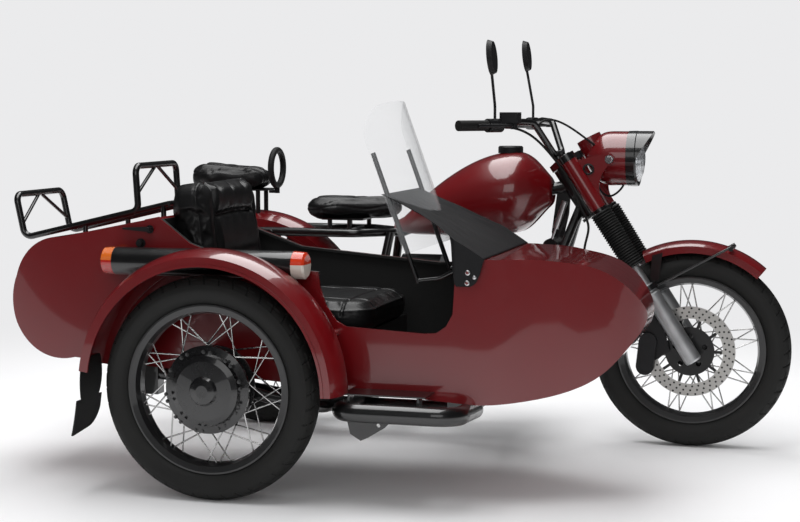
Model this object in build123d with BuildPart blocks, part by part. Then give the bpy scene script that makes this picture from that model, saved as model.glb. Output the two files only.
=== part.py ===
"""Sidecar motorcycle: a classic boxer motorcycle with a boat-shaped sidecar on its right.

+X is forward, +Y is to the rider's left, +Z is up, and all sizes are millimetres.
The origin is on the floor, under the middle of the whole machine.
"""
import math
import os

from build123d import *

os.makedirs("parts", exist_ok=True)

# Layout: the three wheels and how far the machine reaches past them
wheelbase = 1500
track = 1140
wheel_lead = 267
rear_overhang = 560
bar_half = 435
fender_half = 80

# Wheels, 18 inch
tyre_r = 322
tyre_w = 104
tyre_wall = 9
rim_r = 243
rim_w = 70
rim_bore_r = 215
bead_r = 228
rim_wall = 5
spoke_r = 2.2
spoke_count = 36

# Clearances
seat_gap = 0.3
lid_gap = 3

overall_l = wheelbase + tyre_r + rear_overhang
overall_w = bar_half + track + fender_half
front_x = overall_l / 2 - tyre_r
rear_x = front_x - wheelbase
sc_x = rear_x + wheel_lead
bike_y = overall_w / 2 - bar_half
sc_y = bike_y - track

front_hub = Vector(front_x, bike_y, tyre_r)
rear_hub = Vector(rear_x, bike_y, tyre_r)
sc_hub = Vector(sc_x, sc_y, tyre_r)

# Fork: the legs lie ahead of the steering axis and parallel to it
rake = 32.8
leg_y = 95
leg_lead = 48
fork_dir = Vector(-math.sin(math.radians(rake)), 0, math.cos(math.radians(rake)))
fork_ahead = Vector(math.cos(math.radians(rake)), 0, math.sin(math.radians(rake)))
steer_base = front_hub - fork_ahead * leg_lead


def keep(piece, name):
    """Label a finished sub-part and write its STEP file."""
    piece.label = name
    export_step(piece, f"parts/{name}.step")


def on_leg(distance, side):
    """A point on a fork leg's axis, measured up from the wheel axle."""
    return front_hub + fork_dir * distance + Vector(0, side * leg_y, 0)


def on_stem(distance):
    """A point on the steering axis, level along the fork with on_leg of the same distance."""
    return steer_base + fork_dir * distance


def tube(points, radius, bend=40):
    """A round tube along straight runs, with tangent arcs at its corners."""
    with BuildPart() as piece:
        with BuildLine() as path:
            if len(points) == 2:
                Line(*points)
            else:
                FilletPolyline(*points, radius=bend)
        with BuildSketch(path.line ^ 0):
            Circle(radius)
        sweep()
    return piece.part


def rod(start, end, radius, bore=0):
    """A straight round rod or tube between two points."""
    start = Vector(*start)
    run = Vector(*end) - start
    with BuildPart() as piece:
        with BuildSketch(Plane(origin=start, z_dir=run)):
            Circle(radius)
            if bore:
                Circle(bore, mode=Mode.SUBTRACT)
        extrude(amount=run.length)
    return piece.part


def block(low, high, radius=0):
    """A box between two corners, with its upright edges rounded."""
    size = [b - a for a, b in zip(low, high)]
    centre = [(a + b) / 2 for a, b in zip(low, high)]
    with BuildPart() as piece:
        with BuildSketch(Plane.XY.offset(low[2])):
            with Locations((centre[0], centre[1])):
                if radius:
                    RectangleRounded(size[0], size[1], radius)
                else:
                    Rectangle(size[0], size[1])
        extrude(amount=size[2])
    return piece.part


def lathe(hub, outline):
    """A turned piece: outline points are (radius, place along the axle)."""
    with BuildPart() as piece:
        with BuildSketch(Plane(origin=hub, x_dir=(1, 0, 0), z_dir=(0, 0, 1))):
            with BuildLine():
                Polyline(*outline, close=True)
            make_face()
        revolve(axis=Axis(hub, (0, 1, 0)))
    return piece.part


# The three wheels share one tyre and one rim

def make_tyre(hub):
    half = tyre_w / 2
    bead_half = rim_w / 2 - rim_wall - seat_gap
    seat = bead_r + seat_gap
    bulge_r = (rim_r + tyre_r) / 2 + 2
    inner = tyre_r - tyre_wall
    cheek = half - tyre_wall
    with BuildPart() as tyre:
        with BuildSketch(Plane(origin=hub)):
            with BuildLine():
                Line((seat, -bead_half + tyre_wall), (seat, -bead_half))
                Line((seat, -bead_half), (rim_r + 1, -bead_half))
                ThreePointArc((rim_r + 1, -bead_half), (rim_r + 17, -half + 6), (bulge_r, -half))
                ThreePointArc((bulge_r, -half), (tyre_r - 11, -half * 0.66), (tyre_r, 0))
                ThreePointArc((tyre_r, 0), (tyre_r - 11, half * 0.66), (bulge_r, half))
                ThreePointArc((bulge_r, half), (rim_r + 17, half - 6), (rim_r + 1, bead_half))
                Line((rim_r + 1, bead_half), (seat, bead_half))
                Line((seat, bead_half), (seat, bead_half - tyre_wall))
                Line((seat, bead_half - tyre_wall), (rim_r + 4, bead_half - tyre_wall))
                ThreePointArc((rim_r + 4, bead_half - tyre_wall), (rim_r + 19, cheek - 5), (bulge_r, cheek))
                ThreePointArc((bulge_r, cheek), (inner - 10, cheek * 0.66), (inner, 0))
                ThreePointArc((inner, 0), (inner - 10, -cheek * 0.66), (bulge_r, -cheek))
                ThreePointArc((bulge_r, -cheek), (rim_r + 19, 5 - cheek), (rim_r + 4, -bead_half + tyre_wall))
                Line((rim_r + 4, -bead_half + tyre_wall), (seat, -bead_half + tyre_wall))
            make_face()
        revolve(axis=Axis(hub, (0, 1, 0)))
    return tyre.part


def make_rim(hub):
    half = rim_w / 2
    well_r = bead_r - 7
    return lathe(hub, [
        (rim_r, half), (rim_r, half - rim_wall), (bead_r, half - rim_wall), (bead_r, half - 19),
        (well_r, half - 23), (well_r, 23 - half), (bead_r, 19 - half), (bead_r, rim_wall - half),
        (rim_r, rim_wall - half), (rim_r, -half), (rim_r - 5, -half), (bead_r - 6, 3 - half),
        (rim_bore_r, 21 - half), (rim_bore_r, half - 21), (bead_r - 6, half - 3), (rim_r - 5, half),
    ])


def make_spokes(hub, flange_r, flange_y, cross=24):
    """Laced spokes: each leaves a hub flange and leans round to the rim's well."""
    spokes = []
    for i in range(spoke_count):
        side = 1 if i % 2 else -1
        lean = cross if i % 4 < 2 else -cross
        root = math.radians(i * 360 / spoke_count)
        tip = math.radians(i * 360 / spoke_count + lean)
        start = hub + Vector(flange_r * math.cos(root), side * flange_y, flange_r * math.sin(root))
        reach = rim_bore_r - seat_gap
        end = hub + Vector(reach * math.cos(tip), side * 5, reach * math.sin(tip))
        spokes.append(rod(start, end, spoke_r))
    return spokes


def make_hub(hub, outline, flange_r, flange_y, cross):
    core = lathe(hub, outline)
    outside = lathe(hub, [
        (rim_bore_r - seat_gap, -30), (rim_bore_r + 30, -30), (rim_bore_r + 30, 30),
        (rim_bore_r - seat_gap, 30),
    ])
    spokes = make_spokes(hub, flange_r, flange_y, cross)
    with BuildPart() as piece:
        add(core)
        add(spokes)
        add(outside, mode=Mode.SUBTRACT)
    return piece.part


axle_r = 10
hub_bore = axle_r + seat_gap

# Front hub: a small drum with two flanges and a boss for the disc
front_hub_half = 44
disc_y = -57.5
disc_t = 5
disc_r = 147.5
disc_inner_r = 108
disc_seat = disc_y + disc_t / 2 + seat_gap
front_outline = [
    (hub_bore, disc_seat), (34, disc_seat), (34, -front_hub_half + 4),
    (60, -front_hub_half + 8), (60, -front_hub_half + 14), (36, -front_hub_half + 20),
    (36, front_hub_half - 20), (60, front_hub_half - 14), (60, front_hub_half - 8),
    (34, front_hub_half - 4), (34, front_hub_half + 8), (hub_bore, front_hub_half + 8),
]
keep(make_tyre(front_hub), "front_tyre")
keep(make_rim(front_hub), "front_rim")
keep(make_hub(front_hub, front_outline, 54, front_hub_half - 11, 50), "front_hub")

# Brake disc: a drilled ring on a spidery carrier that bolts to the hub
carrier_arms = 10
with BuildPart() as brake_disc:
    disc_plane = Plane(origin=front_hub + Vector(0, disc_y + disc_t / 2, 0), x_dir=(1, 0, 0), z_dir=(0, -1, 0))
    with BuildSketch(disc_plane):
        Circle(disc_r)
        Circle(disc_inner_r, mode=Mode.SUBTRACT)
    extrude(amount=disc_t)
    with BuildSketch(disc_plane):
        Circle(80)
        Circle(24, mode=Mode.SUBTRACT)
        with PolarLocations(50, 5, start_angle=18):
            Circle(9, mode=Mode.SUBTRACT)
    extrude(amount=disc_t)
    with BuildSketch(disc_plane):
        with PolarLocations((80 + disc_inner_r) / 2, carrier_arms):
            Rectangle(disc_inner_r - 80 + 8, 9)
    extrude(amount=disc_t)
keep(brake_disc.part, "brake_disc")

# Rear hub: a drum brake with two spoke flanges
rear_outline = [
    (hub_bore, -48), (84, -48), (84, -40), (98, -40), (98, -32), (84, -28),
    (84, 28), (98, 32), (98, 40), (84, 40), (84, 48), (hub_bore, 48),
]
keep(make_tyre(rear_hub), "rear_tyre")
keep(make_rim(rear_hub), "rear_rim")
keep(make_hub(rear_hub, rear_outline, 92, 36, 34), "rear_hub")

# Sidecar hub: a wide drum under a domed cover on the outer side
sc_outline = [
    (hub_bore, 45), (98, 45), (98, 38), (118, 38), (118, 30), (98, 26),
    (98, -20), (126, -26), (126, -36), (104, -42), (100, -56), (84, -62),
    (42, -64), (36, -72), (18, -76), (0, -76), (0, -60), (hub_bore, -60),
]
keep(make_tyre(sc_hub), "sidecar_tyre")
keep(make_rim(sc_hub), "sidecar_rim")
keep(make_hub(sc_hub, sc_outline, 111, 32, 34), "sidecar_hub")

# Fork legs: bright sliders and stanchions, with the front axle across their ends
slider_r = 28
stanchion_r = 16
slider_top = 258
gaiter_low = 330
gaiter_top = 540
shroud_low = 552
shroud_top = 736
yoke_t = 22
stem_r = 16
head_r = 30



def turned_leg(side, outline):
    """A piece turned about a fork leg: points are (radius, distance up the leg)."""
    with BuildPart() as piece:
        with BuildSketch(Plane(origin=on_leg(0, side), x_dir=fork_ahead, z_dir=(0, -1, 0))):
            with BuildLine():
                Polyline(*outline, close=True)
            make_face()
        revolve(axis=Axis(on_leg(0, side), fork_dir))
    return piece.part


slider_outline = [
    (0, -34), (slider_r - 4, -34), (slider_r, -28), (slider_r, slider_top - 34), (slider_r - 5, slider_top - 26),
    (slider_r - 5, slider_top - 10), (slider_r - 8, slider_top), (stanchion_r, slider_top),
    (stanchion_r, shroud_top + 26), (0, shroud_top + 26),
]
fork_pieces = [turned_leg(side, slider_outline) for side in (-1, 1)]
axle = rod(front_hub - Vector(0, leg_y + 20, 0), front_hub + Vector(0, leg_y + 20, 0), axle_r)
with BuildPart() as fork_legs:
    add(fork_pieces)
    add(axle)
keep(fork_legs.part, "fork_legs")


def make_gaiter(side):
    """A bellows: a zigzag outline turned round the stanchion."""
    folds = 24
    step = (gaiter_top - gaiter_low) / folds
    inner = stanchion_r + seat_gap
    outline = [(inner, gaiter_low)]
    for i in range(folds):
        crest = 35 + 3 * (i + 0.5) / folds
        outline += [(crest - 5, gaiter_low + i * step + 1), (crest, gaiter_low + (i + 0.5) * step)]
    outline += [(33, gaiter_top), (inner, gaiter_top)]
    return turned_leg(side, outline)


gaiters = [make_gaiter(side) for side in (-1, 1)]
with BuildPart() as fork_gaiters:
    add(gaiters)
keep(fork_gaiters.part, "fork_gaiters")

# Shrouds: painted tubes between the yokes, with an ear on each for the headlamp
shroud_r = 27
lamp_z = 948
lamp_r = 90
lamp_x0 = 512
lamp_x1 = 654
lamp_x2 = 688
ear_hole_r = 14
shrouds = [
    rod(on_leg(shroud_low, side), on_leg(shroud_top, side), shroud_r, stanchion_r + seat_gap)
    for side in (-1, 1)
]
ears = []
for side in (-1, 1):
    ear_y = bike_y + side * (lamp_r + 8)
    with BuildPart() as ear:
        with BuildSketch(Plane(origin=(0, ear_y + 2.5, 0), x_dir=(1, 0, 0), z_dir=(0, -1, 0))):
            with BuildLine():
                top = on_leg(shroud_top - 8, side)
                root = on_leg(shroud_low + 18, side)
                low = root + fork_ahead * (shroud_r - 1)
                ThreePointArc((top.X, top.Z), (545, lamp_z + 8), (600, lamp_z + 20))
                ThreePointArc((600, lamp_z + 20), (621, lamp_z), (602, lamp_z - 20))
                ThreePointArc((602, lamp_z - 20), (574, lamp_z - 68), (low.X, low.Z))
                Line((low.X, low.Z), (root.X, root.Z))
                Line((root.X, root.Z), (top.X, top.Z))
            make_face()
            with Locations((536, lamp_z - 33)):
                Circle(ear_hole_r, mode=Mode.SUBTRACT)
        extrude(amount=5)
    ears.append(ear.part)
stanchions = [
    rod(on_leg(shroud_low - 10, side), on_leg(shroud_top + 10, side), stanchion_r + seat_gap)
    for side in (-1, 1)
]
with BuildPart() as fork_shrouds:
    add(shrouds)
    add(ears)
    add(stanchions, mode=Mode.SUBTRACT)
keep(fork_shrouds.part, "fork_shrouds")


# Yokes: two clamps joined by the stem that turns in the frame's head
def make_yoke(low, thickness, clamp_r):
    with BuildPart() as yoke:
        with BuildSketch(Plane(origin=on_stem(low), x_dir=fork_ahead, z_dir=fork_dir)):
            with Locations((leg_lead, leg_y), (leg_lead, -leg_y)):
                Circle(clamp_r)
            Circle(34)
            with BuildLine():
                Polyline(
                    (-30, 0), (-20, 34), (leg_lead - 26, leg_y + 14), (leg_lead + 22, leg_y),
                    (leg_lead + 4, 0), (leg_lead + 22, -leg_y), (leg_lead - 26, -leg_y - 14),
                    (-20, -34), close=True,
                )
            make_face()
            with Locations((leg_lead, leg_y), (leg_lead, -leg_y)):
                Circle(stanchion_r + seat_gap, mode=Mode.SUBTRACT)
        extrude(amount=thickness)
    return yoke.part


lower_yoke = make_yoke(gaiter_top + 1, shroud_low - gaiter_top - 2, 30)
upper_yoke = make_yoke(shroud_top + 1, yoke_t, 29)
stem = rod(on_stem(gaiter_top + 2), on_stem(shroud_top + 10), stem_r)
risers = [
    rod(on_stem(shroud_top + yoke_t) + Vector(18, side * 42, 0) - fork_dir * 4,
        on_stem(shroud_top + yoke_t) + Vector(18, side * 42, 0) + fork_dir * 34, 14)
    for side in (-1, 1)
]
bar_mid = on_stem(shroud_top + yoke_t) + Vector(18, 0, 0) + fork_dir * 34

# Handlebar: rises from the clamps and sweeps back to the grips
bar_r = 11
grip_r = 17
grip_z = 1059
grip_in = (front_x - 616, 328)
grip_out = (front_x - 691, bar_half - 9.8)


def bar_points(side):
    return [
        (bar_mid.X, bike_y, bar_mid.Z),
        (bar_mid.X, bike_y + side * 75, bar_mid.Z),
        (bar_mid.X - 52, bike_y + side * 165, grip_z + 8),
        (grip_in[0] + 62, bike_y + side * 240, grip_z + 12),
        (grip_in[0], bike_y + side * grip_in[1], grip_z),
        (grip_out[0] + 1.4, bike_y + side * (grip_out[1] - 2), grip_z),
    ]


bars = [tube(bar_points(side), bar_r, bend=45) for side in (-1, 1)]
with BuildPart() as handlebar:
    add(bars)
keep(handlebar.part, "handlebar")
with BuildPart() as fork_yokes:
    add(lower_yoke)
    add(upper_yoke)
    add(stem)
    add(risers)
    add(bars, mode=Mode.SUBTRACT)
keep(fork_yokes.part, "fork_yokes")

# Grips: ribbed sleeves on the bar's ends
grip_list = []
for side in (-1, 1):
    start = Vector(grip_in[0], bike_y + side * grip_in[1], grip_z)
    end = Vector(grip_out[0], bike_y + side * grip_out[1], grip_z)
    run = (end - start).normalized()
    grip_list.append(rod(start + run * 6, end, grip_r))
grip_bores = [
    rod(Vector(grip_in[0], bike_y + side * grip_in[1], grip_z),
        Vector(grip_out[0] + 1.4, bike_y + side * (grip_out[1] - 2), grip_z), bar_r)
    for side in (-1, 1)
]
with BuildPart() as grips:
    add(grip_list)
    add(grip_bores, mode=Mode.SUBTRACT)
keep(grips.part, "grips")

# Bar controls: switch housings, levers, and a brake reservoir on the right
control_pieces = []
lever_len = 150
for side in (-1, 1):
    inner_end = Vector(grip_in[0], bike_y + side * grip_in[1], grip_z)
    run = (Vector(grip_out[0], bike_y + side * grip_out[1], grip_z) - inner_end).normalized()
    across = Vector(0, 0, 1).cross(run) * side
    start = inner_end - run * 50
    control_pieces.append(rod(start, start + run * 55, 22))
    perch = start - run * 22
    ahead = Vector(-across.X, -across.Y, 0) if across.X < 0 else across
    control_pieces.append(rod(perch, perch + ahead * 44, 11))
    pivot = perch + ahead * 40
    control_pieces.append(rod(pivot - Vector(0, 0, 12), pivot + Vector(0, 0, 12), 11))
    control_pieces.append(tube([
        tuple(pivot), tuple(pivot + run * 50 + ahead * 16), tuple(pivot + run * lever_len + ahead * 4),
    ], 6, bend=60))
    if side < 0:
        cup = perch + ahead * 22
        control_pieces.append(block(
            (cup.X - 32, cup.Y - 26, grip_z + 8), (cup.X + 32, cup.Y + 26, grip_z + 42), 10))
with BuildPart() as bar_controls:
    add(control_pieces)
    add(bars, mode=Mode.SUBTRACT)
    add(grip_list, mode=Mode.SUBTRACT)
keep(bar_controls.part, "bar_controls")

# Headlamp: a bowl turned about its own level axis, a dark rim and a bulging lens
lamp_axis_at = Vector(0, bike_y, lamp_z)


def lathe_x(outline, centre):
    """A piece turned about a fore-and-aft axis: points are (x, radius)."""
    with BuildPart() as piece:
        with BuildSketch(Plane(origin=centre, x_dir=(1, 0, 0), z_dir=(0, -1, 0))):
            with BuildLine():
                Polyline(*outline, close=True)
            make_face()
        revolve(axis=Axis(centre, (1, 0, 0)))
    return piece.part


with BuildPart() as bowl:
    with BuildSketch(Plane(origin=lamp_axis_at, x_dir=(1, 0, 0), z_dir=(0, -1, 0))):
        with BuildLine():
            Spline((lamp_x0, 0), (lamp_x0 + 9, 36), (lamp_x0 + 38, 69), (lamp_x0 + 98, lamp_r),
                   tangents=((0, 1), (1, 0)))
            Polyline((lamp_x0 + 98, lamp_r), (lamp_x1, lamp_r), (lamp_x1, 0), (lamp_x0, 0))
        make_face()
    revolve(axis=Axis(lamp_axis_at, (1, 0, 0)))
pod_r = 42
pod_face = Vector(518, bike_y, lamp_z + 68)
pod = rod(pod_face + Vector(30, 0, -56), pod_face, pod_r)
lamp_bosses = [
    rod((600, bike_y + side * (lamp_r - 6), lamp_z), (600, bike_y + side * (lamp_r + 5.5 - seat_gap), lamp_z), 14)
    for side in (-1, 1)
]
with BuildPart() as headlamp_shell:
    add(bowl.part)
    add(pod)
    add(lamp_bosses)
keep(headlamp_shell.part, "headlamp_shell")
rim = lathe_x([
    (lamp_x1 + seat_gap, 80), (lamp_x1 + seat_gap, lamp_r + 1), (lamp_x2 - 6, lamp_r + 2),
    (lamp_x2, lamp_r), (lamp_x2, 84), (lamp_x1 + 14, 80),
], lamp_axis_at)
# The peak is the rim's own upper half carried forward and cut on a slant
peak_reach = 46
hood = lathe_x([
    (lamp_x2 - 12, lamp_r - 3), (lamp_x2 - 12, lamp_r + 1), (lamp_x2 + peak_reach, lamp_r + 1),
    (lamp_x2 + peak_reach, lamp_r - 3),
], lamp_axis_at)
with BuildPart() as peak:
    with BuildSketch(Plane(origin=lamp_axis_at, x_dir=(1, 0, 0), z_dir=(0, -1, 0))):
        with BuildLine():
            Polyline((lamp_x2 - 12, 4), (lamp_x2 + 1, 4), (lamp_x2 + peak_reach, lamp_r - 8),
                     (lamp_x2 + peak_reach, lamp_r + 6), (lamp_x2 - 12, lamp_r + 6), close=True)
        make_face()
    extrude(amount=lamp_r + 10, both=True)
    add(hood, mode=Mode.INTERSECT)
with BuildPart() as headlamp_rim:
    add(rim)
    add(peak.part)
keep(headlamp_rim.part, "headlamp_rim")
lens_r = 80 - seat_gap
keep(lathe_x([
    (lamp_x1 + seat_gap, 0), (lamp_x1 + seat_gap, lens_r), (lamp_x1 + 14, lens_r),
    (lamp_x2 + 2, lens_r - 4), (lamp_x2 + 12, 52), (lamp_x2 + 17, 26), (lamp_x2 + 18, 0),
], lamp_axis_at), "headlamp_lens")


bead_t = 2.5
bead_h = 8
step_t = 2


def guard_sizes(crown, lip, half):
    """Where a mudguard's crown meets its skirts, and how far out the skirts stand."""
    return crown - 0.42 * (crown - lip), half - bead_t


def draw_guard(crown, lip, half, wall):
    """A mudguard's section: a round crown, a step down to each skirt, and a bead along its lip."""
    side, skirt = guard_sizes(crown, lip, half)
    ThreePointArc((side, step_t - skirt), (crown, 0), (side, skirt - step_t))
    Polyline((side, skirt - step_t), (side, skirt), (lip + bead_h, skirt), (lip + bead_h, half), (lip, half),
             (lip, skirt - wall), (side - wall, skirt - wall))
    ThreePointArc((side - wall, skirt - wall), (crown - wall, 0), (side - wall, wall - skirt))
    Polyline((side - wall, wall - skirt), (lip, wall - skirt), (lip, -half), (lip + bead_h, -half),
             (lip + bead_h, -skirt), (side, -skirt), (side, step_t - skirt))


def arch(hub, crown, lip, half, wall, from_angle, to_angle):
    """A mudguard: its section carried round the wheel between two angles."""
    a = math.radians(from_angle)
    with BuildPart() as piece:
        with BuildSketch(Plane(origin=hub, x_dir=(math.cos(a), 0, math.sin(a)), z_dir=(-math.sin(a), 0, math.cos(a)))):
            with BuildLine():
                draw_guard(crown, lip, half, wall)
            make_face()
        revolve(axis=Axis(hub, (0, -1, 0)), revolution_arc=to_angle - from_angle)
    return piece.part


def guard_room(hub, crown, lip, half):
    """All the room under a mudguard's outer surface, with the seat gap added."""
    side, skirt = guard_sizes(crown, lip, half)
    g = seat_gap
    with BuildPart() as room:
        with BuildSketch(Plane(origin=hub, x_dir=(1, 0, 0), z_dir=(0, 0, 1))):
            with BuildLine():
                ThreePointArc((side + g, step_t - skirt), (crown + g, 0), (side + g, skirt - step_t))
                Polyline((side + g, skirt - step_t), (side + g, half + g), (0, half + g), (0, -half - g),
                         (side + g, -half - g), (side + g, step_t - skirt))
            make_face()
        revolve(axis=Axis(hub, (0, 1, 0)))
    return room.part


# Front mudguard, with clamps, brackets and stays that hold it to the sliders
guard_half = 60
front_crown = 361
front_lip = 322
keep(arch(front_hub, front_crown, front_lip, guard_half, 2.5, 49, 117), "front_fender")
front_guard_room = guard_room(front_hub, front_crown, front_lip, guard_half)
stay_pieces = []
for side in (-1, 1):
    inner_y = bike_y + side * (guard_half + seat_gap)
    clamp_at = on_leg(slider_top - 22, side)
    stay_pieces.append(rod(clamp_at, clamp_at + fork_dir * 18, slider_r + 5))
    with BuildPart() as bracket:
        with BuildSketch(Plane(origin=(0, inner_y, 0), x_dir=(1, 0, 0), z_dir=(0, -1, 0))):
            with BuildLine():
                Polyline((clamp_at.X - 8, clamp_at.Z - 4), (clamp_at.X + 22, clamp_at.Z + 12),
                         (front_x - 92, tyre_r + 322), (front_x - 126, tyre_r + 312), close=True)
            make_face()
        extrude(amount=-side * 4)
    stay_pieces.append(bracket.part)
    y = inner_y + side * 5
    stay_pieces.append(rod((clamp_at.X + 10, y, clamp_at.Z + 10), (front_x + 129, y, tyre_r + 346), 4))
    stay_pieces.append(rod((front_x + 127, bike_y + side * 30, tyre_r + 338), (front_x + 127, y + side * 4, tyre_r + 338), 7))
with BuildPart() as fender_stays:
    add(stay_pieces)
    add(front_guard_room, mode=Mode.SUBTRACT)
    add(fork_legs.part, mode=Mode.SUBTRACT)
keep(fender_stays.part, "fender_stays")

# Caliper: it straddles the disc's rear edge on an alloy plate bolted to the right slider
caliper_at = (front_x - 138, tyre_r - 10)
plate_t = 8
with BuildPart() as brake_caliper:
    with BuildSketch(Plane(origin=(0, bike_y - 92, 0), x_dir=(1, 0, 0), z_dir=(0, 1, 0))):
        with Locations((caliper_at[0], -caliper_at[1])):
            SlotOverall(140, 58, rotation=96)
    extrude(amount=52)
    with BuildSketch(Plane(origin=(0, bike_y + disc_y - disc_t / 2 - 5.5, 0), x_dir=(1, 0, 0), z_dir=(0, 1, 0))):
        with Locations((front_x, -tyre_r)):
            Circle(disc_r + 6)
    extrude(amount=disc_t + 11, mode=Mode.SUBTRACT)
    with BuildSketch(Plane(origin=(0, bike_y - 70, 0), x_dir=(1, 0, 0), z_dir=(0, -1, 0))):
        with BuildLine():
            Polyline((front_x - 150, 462), (front_x - 120, 470), (front_x - 84, 400), (front_x - 62, 322),
                     (front_x - 96, 300), (front_x - 150, 262), close=True)
        make_face()
    extrude(amount=plate_t)
    add(fork_legs.part, mode=Mode.SUBTRACT)
keep(brake_caliper.part, "brake_caliper")

# Sidecar body: a side profile and a plan profile cross to make the hull, and the same two
# profiles drawn one wall further in make its inside
body_y = bike_y - 735
body_half = 295
body_wall = 8
cowl_x = 319
cowl_z = 697
tail_x = -1076
# Half widths of the nose in plan, as places along and shares of the body's half width
nose_plan = [(450, 0.949), (550, 0.807), (650, 0.654), (750, 0.529), (812, 0.356)]
trunk_x = -573
trunk_z = 797
lid_slope = (trunk_z - 733) / (trunk_x + 891)


def inset_points(outline, inset):
    """An anticlockwise outline's points, each moved in by the inset from both of its sides."""
    points = [Vector(*point) for point in outline]
    moved = []
    for before, point, after in zip(points[-1:] + points[:-1], points, points[1:] + points[:1]):
        first, second = [Vector(-run.Y, run.X).normalized() for run in (point - before, after - point)]
        moved.append(point + (first + second) * (inset / (1 + first.dot(second))))
    return moved


def side_face(inset, open_top):
    nose = [(358, 290), (500, 298), (600, 317), (700, 361), (788, 452), (827, 534), (802, 588),
            (750, 641), (690, 672), (600, 689), (480, cowl_z)]
    deck = [(cowl_x, 640), (127, 632), (-330, 672), (-476, 723)] if open_top else [(cowl_x, trunk_z)]
    top = [(cowl_x, cowl_z), *deck, (trunk_x, trunk_z), (-891, 733)]
    tail = [(-1001, 696), (-1058, 612), (tail_x, 545), (-1062, 468), (-1003, 401), (-849, 374)]
    points = inset_points(nose + top + tail, inset)
    back = len(nose) + len(top) - 1
    with BuildSketch(Plane.XZ.offset(-1000)) as face:
        with BuildLine():
            Spline(*points[:len(nose)], tangents=((1, -0.07), (-1, 0)))
            Polyline(*points[len(nose) - 1:back + 1])
            for start in (back, back + 2, back + 4):
                ThreePointArc(*points[start:start + 3])
            Line(points[-1], points[0])
        make_face()
    return face.sketch


def plan_face(inset):
    right = [(x, body_y - share * body_half) for x, share in nose_plan]
    left = [(x, body_y + share * body_half) for x, share in reversed(nose_plan)]
    nose = [(300, body_y - body_half), *right, (838, body_y), *left, (300, body_y + body_half)]
    tail = [(-800, body_half), (-950, body_half - 12), (-1084, body_half - 47)]
    tail = [(x, body_y + y) for x, y in tail] + [(x, body_y - y) for x, y in reversed(tail)]
    points = inset_points(nose + tail, inset)
    back = len(nose)
    with BuildSketch(Plane.XY.offset(100)) as face:
        with BuildLine():
            Spline(*points[:back], tangents=((1, 0), (-1, 0)))
            Line(points[back - 1], points[back])
            ThreePointArc(*points[back:back + 3])
            Line(points[back + 2], points[back + 3])
            ThreePointArc(*points[back + 3:])
            Line(points[-1], points[0])
        make_face()
    return face.sketch


def hull(inset, open_top=True):
    with BuildPart() as solid:
        extrude(side_face(inset, open_top), amount=2000)
        extrude(plan_face(inset), amount=900, mode=Mode.INTERSECT)
    return solid.part


hull_outer = hull(0)
hull_inner = hull(body_wall)
# The cockpit is open at the top, inside a rolled edge, between the bulkhead and the cowl
cockpit_x0 = trunk_x + body_wall
edge_w = 14
cockpit_half = body_half - body_wall - edge_w
cockpit_cut = block(
    (cockpit_x0, body_y - cockpit_half, 500), (cowl_x - 1, body_y + cockpit_half, 900))


def floor_under(x):
    """The underside of the sidecar's floor."""
    return 374 + (x + 849) * (290 - 374) / (358 + 849)


bulkhead = block(
    (trunk_x, body_y - body_half + 2, floor_under(trunk_x) + 3),
    (cockpit_x0, body_y + body_half - 2, trunk_z - body_wall - 1))
with BuildPart() as entry:
    with BuildSketch(Plane(origin=(0, body_y - body_half - 20, 0), x_dir=(1, 0, 0), z_dir=(0, -1, 0))):
        with BuildLine():
            Polyline((-90, 700), (-75, 605), (-57, 554), (-28, 513), (1, 497), (229, 485), (267, 488),
                     (295, 508), (314, 543), (cowl_x, 621), (cowl_x, 700), close=True)
        make_face()
    extrude(amount=-60)

# Boot lid: the panel of the trunk's top, and the hole that it fills
lid_x = (-905, -588)
lid_half = body_half - 23


def lid_prism(grow):
    return block((lid_x[0] - grow, body_y - lid_half - grow, 700),
                 (lid_x[1] + grow, body_y + lid_half + grow, 850), 24 + grow)


with BuildPart() as body_shell:
    add(hull_outer)
    add(hull_inner, mode=Mode.SUBTRACT)
    add(bulkhead)
    add(cockpit_cut, mode=Mode.SUBTRACT)
    add(entry.part, mode=Mode.SUBTRACT)
    add(lid_prism(lid_gap), mode=Mode.SUBTRACT)


def lid_top(x):
    return trunk_z + (x - trunk_x) * lid_slope


# Two hinges along the lid's left edge, their barrels parallel to its slope
lid_dir = Vector(1, 0, lid_slope).normalized()
hinge_y = body_y + lid_half + lid_gap / 2
hinge_lift = 7
barrel_r = 5
barrel_len = 26
barrel_gap = 0.5
pin_r = 2.5
hinge_xs = (-850, -650)


def leaf(low, high, reach):
    """A hinge leaf from a barrel's axis down into the panel beside it."""
    low = low + lid_dir * 2
    high = high - lid_dir * 2
    with BuildPart() as plate:
        with BuildSketch(Plane(origin=(0, hinge_y, 0), x_dir=(1, 0, 0), z_dir=(0, -1, 0))):
            with BuildLine():
                Polyline((low.X, low.Z), (high.X, high.Z), (high.X, lid_top(high.X) - 3),
                         (low.X, lid_top(low.X) - 3), close=True)
            make_face()
        extrude(amount=reach)
        add(gap_room, mode=Mode.SUBTRACT)
    return plate.part


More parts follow.
